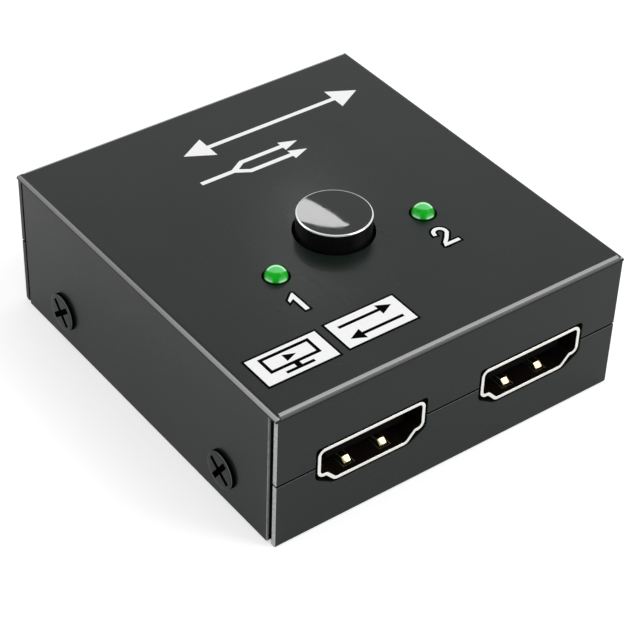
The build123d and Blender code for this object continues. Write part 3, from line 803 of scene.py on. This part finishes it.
def turned(name, profile, centre, segments, finish_of):
    """A profile in millimetres turned about a vertical axis. finish_of gives a face its finish number."""
    shape = bmesh.new()
    rings = []
    for radius, height in profile:
        if radius < 0.0001:
            rings.append([shape.verts.new((centre[0] * MM, centre[1] * MM, height * MM))] * segments)
            continue
        ring_points = []
        for step in range(segments):
            angle = 2 * math.pi * step / segments
            x = (centre[0] + radius * math.cos(angle)) * MM
            y = (centre[1] + radius * math.sin(angle)) * MM
            ring_points.append(shape.verts.new((x, y, height * MM)))
        rings.append(ring_points)
    for number in range(len(rings) - 1):
        lower, upper = rings[number], rings[number + 1]
        for step in range(segments):
            following = (step + 1) % segments
            corners = []
            for corner in (lower[step], lower[following], upper[following], upper[step]):
                if corner not in corners:
                    corners.append(corner)
            face = shape.faces.new(corners)
            face.smooth = True
            face.material_index = finish_of(number)
    bmesh.ops.recalc_face_normals(shape, faces=shape.faces)
    for crease in shape.edges:
        if crease.calc_face_angle(0) > SHARP:
            crease.smooth = False
    mesh = bpy.data.meshes.new(name)
    shape.to_mesh(mesh)
    shape.free()
    return mesh


# %% [markdown]
# ## The button cap
# The cap is a glossy black moulding. Its flat top ends in a narrow polished ring that is rounded over, and
# below it the matt side goes down through the hole in the lid. It is hollow, with a boss that
# grips the stem of the switch.
# %% Button cap
BUTTON_AT = ((cap_low.x + cap_high.x) / 2 / MM, (cap_low.y + cap_high.y) / 2 / MM)
CAP_RADIUS = (cap_high.x - cap_low.x) / 2 / MM
CAP_TOP = cap_high.z / MM
CAP_FOOT = cap_low.z / MM
RING_ROUND = 0.20
RING_STEPS = 10
RING_DOWN = 8
CAP_WALL = 1.0
CAP_SEAT = 1.2
BOSS = 2.6
GRIP = 2.3
ring_arc = arc(CAP_RADIUS - RING_ROUND, CAP_TOP - RING_ROUND, RING_ROUND, 90, 0, RING_STEPS)
cap_profile = [(0, CAP_TOP), (2.0, CAP_TOP), (CAP_RADIUS - RING_ROUND - 0.04, CAP_TOP)] + ring_arc
cap_profile += [(CAP_RADIUS, CAP_FOOT + 0.08), (CAP_RADIUS - 0.08, CAP_FOOT)]
cap_profile += [(CAP_RADIUS - CAP_WALL, CAP_FOOT), (CAP_RADIUS - CAP_WALL, CAP_TOP - CAP_WALL)]
cap_profile += [(BOSS, CAP_TOP - CAP_WALL), (BOSS, CAP_FOOT), (GRIP, CAP_FOOT), (GRIP, CAP_TOP - CAP_SEAT)]
cap_profile += [(0, CAP_TOP - CAP_SEAT)]
TOP_BANDS = 3


def cap_finish(number):
    """The finish of each band of the cap: glossy top, bright ring, matt side."""
    if number < TOP_BANDS:
        return 0
    return 1 if number < TOP_BANDS + RING_DOWN else 2


cap_mesh = turned("button_cap_gloss", cap_profile, BUTTON_AT, 128, cap_finish)
cap_piece = new_piece("button_cap_gloss", cap_mesh, ["cap_gloss", "bright_ring", "cap_side"], "button")
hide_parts("button_cap")
print("cap radius", round(CAP_RADIUS, 2), "mm, top at", round(CAP_TOP, 2), "mm")

# %% [markdown]
# ## The lamps
# Each lamp is a 3 mm lens with a flange under the lid, a straight barrel and a domed end.
# %% Lamps
LENS_RADIUS = 1.475
LENS_FLANGE = 1.0
for number in (1, 2):
    lens_low, lens_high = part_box(f"lamp_{number}_lens")
    flange_radius = (lens_high.x - lens_low.x) / 2 / MM
    foot = lens_low.z / MM
    dome_height = lens_high.z / MM - LENS_RADIUS
    profile = [(0, foot), (flange_radius, foot), (flange_radius, foot + LENS_FLANGE), (LENS_RADIUS, foot + LENS_FLANGE)]
    profile += arc(0, dome_height, LENS_RADIUS, 0, 90, 16)
    profile[-1] = (0, lens_high.z / MM)
    lens_at = ((lens_low.x + lens_high.x) / 2 / MM, (lens_low.y + lens_high.y) / 2 / MM)
    lens_mesh = turned(f"lamp_{number}_dome", profile, lens_at, 64, lambda band: 0)
    lens_piece = new_piece(f"lamp_{number}_dome", lens_mesh, ["lens_green"], "case")
    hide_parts(f"lamp_{number}_lens")
    print("lamp", number, "at", [round(v, 2) for v in lens_at], "mm")

# %% [markdown]
# ## The socket shells
# Each shell is a thin plated sleeve with spring fingers. Its lip is bright, and so is the front slope of
# each finger, where a plug rubs it. The walls and the rest of each finger are coloured nearly black as
# painted shade, and the deeper bevels are a worn gold that stands in for glints as a painted highlight. So
# the faces of the copied shell are sorted by where they are and which way they face.
# %% Socket shells
LIP_DEPTH = 0.035
FINGER_ROWS = ((3.3, 0.7, 11.0), (2.5, 0.5, 6.45))
FINGER_SLOPE = (0.95, 1.75)
SHELL_EDGE = 0.05 * MM
LIP, WALL_SHADE, SLOPE, GLINT_EDGE = 0, 1, 2, 3
SOCKETS = {"front_left": (-11.5, -26.6, 1), "front_right": (11.5, -26.6, 1), "rear": (0.0, 26.6, -1)}


def shell_finish(across, depth, height, outward, bevelled):
    """Plating on the lip and on the front slopes of the fingers, painted glints on worn edges, and painted shade on the
    walls elsewhere.
    """
    if depth < LIP_DEPTH:
        return LIP
    if bevelled and depth > 0.5:
        return GLINT_EDGE
    for middle, half, wall in FINGER_ROWS:
        beside = abs(abs(across) - middle) > half + 0.02
        if not beside and FINGER_SLOPE[0] < depth < FINGER_SLOPE[1] and abs(height - wall) < 0.75:
            return SLOPE if outward > 0.2 else WALL_SHADE
    return WALL_SHADE


for socket, (middle, mouth, inward) in SOCKETS.items():
    mesh = merged_copy(f"{socket}_socket_shell")
    for name in ("lip_plating", "shell_wall_shade", "contact_gold", "worn_edge_glint"):
        mesh.materials.append(finishes[name])
    mesh = rounded(mesh, SHELL_EDGE, GLINT_EDGE)
    counts = [0, 0, 0, 0]
    for polygon in mesh.polygons:
        across = polygon.center.x / MM - middle
        depth = (polygon.center.y / MM - mouth) * inward
        outward = -polygon.normal.y * inward
        bevelled = polygon.material_index == GLINT_EDGE
        polygon.material_index = shell_finish(across, depth, polygon.center.z / MM, outward, bevelled)
        counts[polygon.material_index] += 1
    mesh.name = f"{socket}_shell_plated"
    shell = new_piece(mesh.name, mesh, [], "case")
    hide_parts(f"{socket}_socket_shell")
    print(socket, "shell lip, wall, slope and rubbed faces", counts)

# %% [markdown]
# ## Helpers for Geometry Nodes
# What repeats is made by small node trees. A tree has named inputs for its sizes, and a modifier's input is
# set by the identifier of its socket. The evaluated result is turned into a plain mesh at once.
# %% Helpers for Geometry Nodes
class Tree:
    """A Geometry Nodes tree under construction."""

    def __init__(self, name, inputs):
        self.group = bpy.data.node_groups.new(name, "GeometryNodeTree")
        self.group.interface.new_socket("Geometry", in_out="OUTPUT", socket_type="NodeSocketGeometry")
        self.values = inputs
        self.keys = {}
        for label, value in inputs.items():
            kind = "NodeSocketInt" if isinstance(value, int) else "NodeSocketFloat"
            self.keys[label] = self.group.interface.new_socket(label, in_out="INPUT", socket_type=kind).identifier
        self.entry = self.group.nodes.new("NodeGroupInput")
        self.exit = self.group.nodes.new("NodeGroupOutput")

    def add(self, kind, **settings):
        """A node. Settings that name a property set it, and all others feed an input of that name."""
        node = self.group.nodes.new(kind)
        for key, value in settings.items():
            if key in node.bl_rna.properties:
                setattr(node, key, value)
            else:
                self.feed(node, key.replace("_", " "), value)
        return node

    def feed(self, node, socket, value):
        """Links or sets an input, given by name or number."""
        slot = node.inputs[socket]
        if isinstance(value, bpy.types.NodeSocket):
            self.group.links.new(value, slot)
        elif isinstance(value, bpy.types.Node):
            self.group.links.new(value.outputs[0], slot)
        else:
            slot.default_value = value

    def size(self, label):
        """One of the tree's own inputs."""
        return self.entry.outputs[label]

    def math(self, operation, first, second=0.0):
        """A number worked out from two others."""
        node = self.group.nodes.new("ShaderNodeMath")
        node.operation = operation
        self.feed(node, 0, first)
        self.feed(node, 1, second)
        return node.outputs[0]

    def vector(self, x=0.0, y=0.0, z=0.0):
        """A vector made of three numbers."""
        node = self.group.nodes.new("ShaderNodeCombineXYZ")
        for number, value in enumerate((x, y, z)):
            self.feed(node, number, value)
        return node.outputs[0]

    def end(self, geometry, finish_name):
        """Realizes the instances, sets the finish and closes the tree."""
        real = self.add("GeometryNodeRealizeInstances", Geometry=geometry)
        painted = self.add("GeometryNodeSetMaterial", Geometry=real, Material=finishes[finish_name])
        self.group.links.new(painted.outputs[0], self.exit.inputs[0])

    def plain_mesh(self, name):
        """The tree's result as a plain mesh with creases marked."""
        holder = bpy.data.objects.new("holder", bpy.data.meshes.new("holder"))
        bpy.context.scene.collection.objects.link(holder)
        modifier = holder.modifiers.new("nodes", "NODES")
        modifier.node_group = self.group
        for label, value in self.values.items():
            modifier[self.keys[label]] = value
        graph = bpy.context.evaluated_depsgraph_get()
        mesh = bpy.data.meshes.new_from_object(holder.evaluated_get(graph), depsgraph=graph)
        holder.modifiers.remove(modifier)
        bpy.data.objects.remove(holder)
        mesh.name = name
        shape = bmesh.new()
        shape.from_mesh(mesh)
        for face in shape.faces:
            face.smooth = True
        for crease in shape.edges:
            crease.smooth = crease.calc_face_angle(0) < SHARP
        shape.to_mesh(mesh)
        shape.free()
        return mesh


# %% [markdown]
# ## The cover screws
# Four low cross-recess screws hold the cover to the tray, two on each side. One head is a ball pushed
# towards a flat disc by a superellipse: the higher its power, the flatter the top and the tighter the edge.
# Two crossed blocks are cut out of it, and it is set at the corners of a grid, turned to face outwards.
# %% Cover screws
screws = Tree("cover_screw_heads", {
    "Head radius": 2.4 * MM,
    "Head height": 0.5 * MM,
    "Wall height": 0.30 * MM,
    "Edge power": 6.0,
    "Arm length": 3.8 * MM,
    "Arm width": 0.71 * MM,
    "Recess depth": 0.42 * MM,
    "Shank radius": 1.5 * MM,
    "Shank length": 2.6 * MM,
    "Across": 49.3 * MM,
    "Along": 33.6 * MM,
    "Height": 4.4 * MM,
    "First turn": 0.967,
    "Turn step": -0.254,
})
disc = screws.add(
    "GeometryNodeMeshCylinder", Vertices=64, Side_Segments=1, Fill_Segments=14, Radius=1.0, Depth=2.0)
where = screws.add("ShaderNodeSeparateXYZ", Vector=screws.add("GeometryNodeInputPosition").outputs[0])
flat_square = screws.math(
    "ADD", screws.math("POWER", where.outputs[0], 2.0), screws.math("POWER", where.outputs[1], 2.0))
reach = screws.math("MAXIMUM", screws.math("SQRT", flat_square), 0.0001)
angle = screws.math("MINIMUM", screws.math("MULTIPLY", reach, math.pi / 2), math.pi / 2)
power = screws.math("DIVIDE", 2.0, screws.size("Edge power"))
wide = screws.math("POWER", screws.math("SINE", angle), power)
tall = screws.math("POWER", screws.math("MAXIMUM", screws.math("COSINE", angle), 0.0), power)
dome_height = screws.math("SUBTRACT", screws.size("Head height"), screws.size("Wall height"))
dome = screws.math("ADD", screws.math("MULTIPLY", tall, dome_height), screws.size("Wall height"))
on_top = screws.math("GREATER_THAN", where.outputs[2], 0.0)
widen = screws.math("DIVIDE", screws.math("MULTIPLY", wide, screws.size("Head radius")), reach)
head = screws.add("GeometryNodeSetPosition", Geometry=disc, Position=screws.vector(
    screws.math("MULTIPLY", where.outputs[0], widen),
    screws.math("MULTIPLY", where.outputs[1], widen),
    screws.math("MULTIPLY", on_top, dome),
))
deep = screws.math("MULTIPLY", screws.size("Recess depth"), 2.0)
cross = screws.add("GeometryNodeJoinGeometry")
cut = head
for length, width in (("Arm length", "Arm width"), ("Arm width", "Arm length")):
    bar = screws.add("GeometryNodeMeshCube", Size=screws.vector(screws.size(length), screws.size(width), deep))
    lifted = screws.add(
        "GeometryNodeTransform", Geometry=bar, Translation=screws.vector(z=screws.size("Head height")))
    cut = screws.add(
        "GeometryNodeMeshBoolean", operation="DIFFERENCE", solver="EXACT", Mesh_1=cut, Mesh_2=lifted)
shank = screws.add("GeometryNodeMeshCylinder", Vertices=32, Side_Segments=1, Fill_Segments=1)
screws.feed(shank, "Radius", screws.size("Shank radius"))
screws.feed(shank, "Depth", screws.size("Shank length"))
sunk = screws.add("GeometryNodeTransform", Geometry=shank, Translation=screws.vector(
    z=screws.math("MULTIPLY", screws.size("Shank length"), -0.499)))
screws.group.links.new(cut.outputs[0], cross.inputs[0])
screws.group.links.new(sunk.outputs[0], cross.inputs[0])
grid = screws.add(
    "GeometryNodeMeshGrid", Size_X=screws.size("Across"), Size_Y=screws.size("Along"), Vertices_X=2, Vertices_Y=2)
corner = screws.add("ShaderNodeSeparateXYZ", Vector=screws.add("GeometryNodeInputPosition").outputs[0])
outwards = screws.math("MULTIPLY", screws.math("SIGN", corner.outputs[0]), math.pi / 2)
number = screws.add("GeometryNodeInputIndex")
spin = screws.math(
    "ADD", screws.size("First turn"), screws.math("MULTIPLY", number.outputs[0], screws.size("Turn step")))
own_turn = screws.add("FunctionNodeEulerToRotation", Euler=screws.vector(0.0, 0.0, spin))
facing = screws.add("FunctionNodeEulerToRotation", Euler=screws.vector(0.0, outwards, 0.0))
turned_out = screws.add("FunctionNodeRotateRotation", rotation_space="LOCAL", Rotation=facing)
screws.feed(turned_out, 1, own_turn)
heads = screws.add(
    "GeometryNodeInstanceOnPoints", Points=grid.outputs["Mesh"], Instance=cross, Rotation=turned_out)
raised = screws.add(
    "GeometryNodeTransform", Geometry=heads, Translation=screws.vector(z=screws.size("Height")))
screws.end(raised, "screw_black")
screw_mesh = screws.plain_mesh("cover_screw_heads")
screw_piece = new_piece("cover_screw_heads", screw_mesh, [], "case")
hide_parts("cover_screws")
print("screw head faces", len(screw_mesh.polygons))

# %% [markdown]
# ## The contacts
# Each socket has nineteen contacts, ten above its tongue and nine below. A contact is a thin strip that lies
# on the tongue, turns down behind the insulator and ends in a foot on the board. So one strip is a path with
# rounded corners, swept with a small rectangle, and a row is that strip repeated at a pitch of 1 mm.
# %% Contacts
def contact_row(label, count, strip_height, foot_height, back):
    """A tree for one row of contacts, in the socket's own place with its mouth at Y=0."""
    tree = Tree(label, {
        "Count": count,
        "Pitch": 1.0 * MM,
        "Strip width": 0.3 * MM,
        "Strip thickness": 0.18 * MM,
        "Front": 1.9 * MM,
        "Back": back * MM,
        "Foot end": 12.3 * MM,
        "Strip height": strip_height * MM,
        "Foot height": foot_height * MM,
        "Corner": 0.12 * MM,
    })
    corners = [
        tree.vector(y=tree.size("Front"), z=tree.size("Strip height")),
        tree.vector(y=tree.size("Back"), z=tree.size("Strip height")),
        tree.vector(y=tree.size("Back"), z=tree.size("Foot height")),
        tree.vector(y=tree.size("Foot end"), z=tree.size("Foot height")),
    ]
    runs = tree.add("GeometryNodeJoinGeometry")
    path = tree.add("GeometryNodeMeshLine", Count=4)
    index = tree.add("GeometryNodeInputIndex")
    place = corners[0]
    for number in (1, 2, 3):
        switch = tree.add("GeometryNodeSwitch", input_type="VECTOR")
        tree.feed(switch, "Switch", tree.math("GREATER_THAN", index, number - 0.5))
        tree.feed(switch, "False", place)
        tree.feed(switch, "True", corners[number])
        place = switch.outputs[0]
    placed = tree.add("GeometryNodeSetPosition", Geometry=path, Position=place)
    curve = tree.add("GeometryNodeMeshToCurve", Mesh=placed)
    bent = tree.add("GeometryNodeFilletCurve", Curve=curve, Radius=tree.size("Corner"))
    section = tree.add("GeometryNodeCurvePrimitiveQuadrilateral")
    tree.feed(section, "Width", tree.size("Strip thickness"))
    tree.feed(section, "Height", tree.size("Strip width"))
    strip = tree.add("GeometryNodeCurveToMesh", Curve=bent, Profile_Curve=section)
    tree.feed(strip, "Fill Caps", True)
    half = tree.math("MULTIPLY", tree.math("SUBTRACT", tree.size("Count"), 1.0), tree.size("Pitch"))
    line = tree.add("GeometryNodeMeshLine", Count=tree.size("Count"))
    tree.feed(line, "Start Location", tree.vector(x=tree.math("MULTIPLY", half, -0.5)))
    tree.feed(line, "Offset", tree.vector(x=tree.size("Pitch")))
    row = tree.add("GeometryNodeInstanceOnPoints", Points=line, Instance=strip)
    tree.group.links.new(row.outputs[0], runs.inputs[0])
    tree.end(runs, "contact_gold")
    return tree.plain_mesh(label)


TONGUE_LOW = 6.45 + 1.75
TONGUE_HIGH = TONGUE_LOW + 1.3
STRIP_HALF = 0.09
FOOT = 6.15 + STRIP_HALF
upper_row = contact_row("upper_contacts", 10, TONGUE_HIGH - 0.03, FOOT, 11.29)
lower_row = contact_row("lower_contacts", 9, TONGUE_LOW + 0.03, FOOT, 11.29)
for socket, (middle, mouth, inward) in SOCKETS.items():
    both_rows = bmesh.new()
    both_rows.from_mesh(upper_row)
    both_rows.from_mesh(lower_row)
    turned_round = Matrix.Rotation(0 if inward > 0 else math.pi, 4, "Z")
    both_rows.transform(Matrix.Translation((middle * MM, mouth * MM, 0)) @ turned_round)
    bmesh.ops.recalc_face_normals(both_rows, faces=both_rows.faces)
    mesh = bpy.data.meshes.new(f"{socket}_contact_rows")
    both_rows.to_mesh(mesh)
    both_rows.free()
    contacts = new_piece(mesh.name, mesh, ["contact_gold"], "case")
    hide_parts(f"{socket}_socket_contacts")
    print(socket, "contacts faces", len(mesh.polygons))

# %% [markdown]
# ## The prints
# The lid is printed in white ink: a number in front of each lamp, two small panels near the front edge and
# two rows further back. The numbers stay, because they say which socket a lamp belongs to. The panels and
# rows get plain signs: a screen, a pair of arrows, a long arrow both ways, and one line that parts into two.
# Ink lies on the paint as a film that can just be seen, so each sign is a flat outline with a thickness.
# %% Prints
FILM = 0.015
OUTLINE = 0.28


def film_mesh(name, outlines, height):
    """Flat outlines in millimetres, each a list of points, as films of ink at a height."""
    shape = bmesh.new()
    for outline in outlines:
        points = [shape.verts.new((x * MM, y * MM, height * MM)) for x, y in outline]
        shape.faces.new(points)
    bmesh.ops.recalc_face_normals(shape, faces=shape.faces)
    for face in shape.faces:
        if face.normal.z < 0:
            face.normal_flip()
    top = bmesh.ops.extrude_face_region(shape, geom=list(shape.faces))
    raised = [item for item in top["geom"] if isinstance(item, bmesh.types.BMVert)]
    bmesh.ops.translate(shape, verts=raised, vec=(0, 0, FILM * MM))
    bmesh.ops.recalc_face_normals(shape, faces=shape.faces)
    mesh = bpy.data.meshes.new(name)
    shape.to_mesh(mesh)
    shape.free()
    return mesh


def print_piece(name, outlines, layer, finish_name):
    """A print on the lid, in its layer of ink."""
    mesh = film_mesh(name, outlines, LID + layer * FILM)
    return new_piece(name, mesh, [finish_name], "case")


def box_outline(low_x, low_y, high_x, high_y, grow=0.0):
    """The corners of a rectangle."""
    low_x, low_y, high_x, high_y = low_x - grow, low_y - grow, high_x + grow, high_y + grow
    return [(low_x, low_y), (high_x, low_y), (high_x, high_y), (low_x, high_y)]


def stroke_outline(points, width):
    """The outline of a pen stroke of a width along points, with mitred corners and square ends."""
    half = width / 2
    ways = [(Vector(b) - Vector(a)).normalized() for a, b in zip(points, points[1:])]
    left, right = [], []
    for number, point in enumerate(points):
        before = ways[max(number - 1, 0)]
        after = ways[min(number, len(ways) - 1)]
        side = Vector((-before.y - after.y, before.x + after.x)).normalized()
        mitre = half / max(0.35, side.dot(Vector((-after.y, after.x))))
        middle = Vector(point)
        if number == 0:
            middle -= half * after
        if number == len(points) - 1:
            middle += half * before
        left.append(tuple(middle + mitre * side))
        right.append(tuple(middle - mitre * side))
    return left + right[::-1]


def curve_points(centre_x, centre_y, radius, start, end, steps=12):
    """Points along an arc, with its angles in degrees."""
    points = []
    for step in range(steps + 1):
        angle = math.radians(start + (end - start) * step / steps)
        points.append((centre_x + radius * math.cos(angle), centre_y + radius * math.sin(angle)))
    return points


def grown(outline, by):
    """An outline that runs anticlockwise, moved outwards by a width."""
    moved = []
    for number, point in enumerate(outline):
        before = (Vector(point) - Vector(outline[number - 1])).normalized()
        after = (Vector(outline[(number + 1) % len(outline)]) - Vector(point)).normalized()
        side = Vector((before.y + after.y, -before.x - after.x)).normalized()
        moved.append(tuple(Vector(point) + by / max(0.5, side.dot(Vector((after.y, -after.x)))) * side))
    return moved


# %% [markdown]
# The 1 is drawn by its corners and the 2 as one pen stroke, which gives its width everywhere. A dark film a
# little wider than the white one lies under every print, as the photograph shows a thin black line round each.
# %% Numbers
TWO_STROKE = 0.46
number_one = [
    (-11.06, -10.46), (-12.10, -11.32), (-12.14, -11.78), (-11.46, -11.40), (-11.46, -13.78), (-10.90, -13.78),
    (-10.90, -10.50)]
number_two = curve_points(9.82, -11.14, 0.80, 176, -28)
number_two += [(9.80, -12.34), (9.16, -12.92), (8.99, -13.30), (10.74, -13.30)]
print_piece("number_one_border", [grown(number_one, OUTLINE)], 0, "black_ink")
print_piece("number_one", [number_one], 1, "white_ink")
two_parts = [stroke_outline(part, TWO_STROKE + 2 * OUTLINE) for part in (number_two[:-1], number_two[-2:])]
print_piece("number_two_border", two_parts, 0, "black_ink")
print_piece("number_two", [stroke_outline(number_two, TWO_STROKE)], 1, "white_ink")

# %% [markdown]
# The two white panels carry plain black signs: a screen on its stand, and two arrows that pass each other.
# %% Panels
PANELS = ((-22.21, -21.96, -12.86, -17.27), (-11.41, -21.80, -2.03, -17.13))
SIGN_STROKE = 0.42
print_piece("panel_borders", [box_outline(*panel, OUTLINE) for panel in PANELS], 0, "black_ink")
print_piece("panels", [box_outline(*panel) for panel in PANELS], 1, "white_ink")


def frame_strokes(low_x, low_y, high_x, high_y, width):
    """A rectangular frame as four bars that meet without overlapping."""
    return [
        box_outline(low_x, low_y, high_x, low_y + width),
        box_outline(low_x, high_y - width, high_x, high_y),
        box_outline(low_x, low_y + width, low_x + width, high_y - width),
        box_outline(high_x - width, low_y + width, high_x, high_y - width),
    ]


def arrow_outline(tail, tip, y, shaft, head, length):
    """A one-headed arrow along X, from its tail to its tip."""
    way = 1 if tip > tail else -1
    neck = tip - way * length
    points = [(tail, y - shaft / 2), (neck, y - shaft / 2), (neck, y - head / 2), (tip, y)]
    points += [(neck, y + head / 2), (neck, y + shaft / 2), (tail, y + shaft / 2)]
    return points


screen = frame_strokes(-20.88, -20.43, -14.18, -17.78, SIGN_STROKE)
screen += [box_outline(-17.88, -20.98, -17.18, -20.43), box_outline(-19.38, -21.38, -15.68, -20.98)]
screen.append([(-18.18, -19.68), (-16.68, -19.10), (-18.18, -18.53)])
print_piece("screen_sign", screen, 2, "black_ink")
passing = [
    arrow_outline(-10.37, -3.07, -18.32, SIGN_STROKE, 1.7, 1.7),
    arrow_outline(-3.07, -10.37, -20.57, SIGN_STROKE, 1.7, 1.7),
]
print_piece("passing_arrows_sign", passing, 2, "black_ink")

# %% [markdown]
# The two rows behind the button are white signs: a long arrow both ways, and one line that parts into two.
# %% Rows
ROW_STROKE = 0.62
long_arrow = [
    arrow_outline(6.9, 20.05, 18.3, ROW_STROKE, 3.9, 3.6),
    arrow_outline(6.9, -6.18, 18.3, ROW_STROKE, 3.9, 3.6),
]
FORK_HALF = ROW_STROKE / 2
trunk, upper, lower = 12.4, 13.45, 11.35
fork = [
    [
        (-7.6, trunk - FORK_HALF), (-3.0, trunk - FORK_HALF), (-1.2, lower - FORK_HALF), (4.9, lower - FORK_HALF),
        (4.9, lower + FORK_HALF), (-1.0, lower + FORK_HALF), (-2.2, trunk), (-1.0, upper - FORK_HALF),
        (4.9, upper - FORK_HALF), (4.9, upper + FORK_HALF), (-1.2, upper + FORK_HALF), (-3.0, trunk + FORK_HALF),
        (-7.6, trunk + FORK_HALF),
    ],
    [(4.9, upper - 0.9), (7.2, upper), (4.9, upper + 0.9)],
    [(4.9, lower - 0.9), (7.2, lower), (4.9, lower + 0.9)],
]
print_piece("long_arrow_sign", long_arrow, 0, "white_ink")
print_piece("fork_sign", fork, 0, "white_ink")
print("prints made")
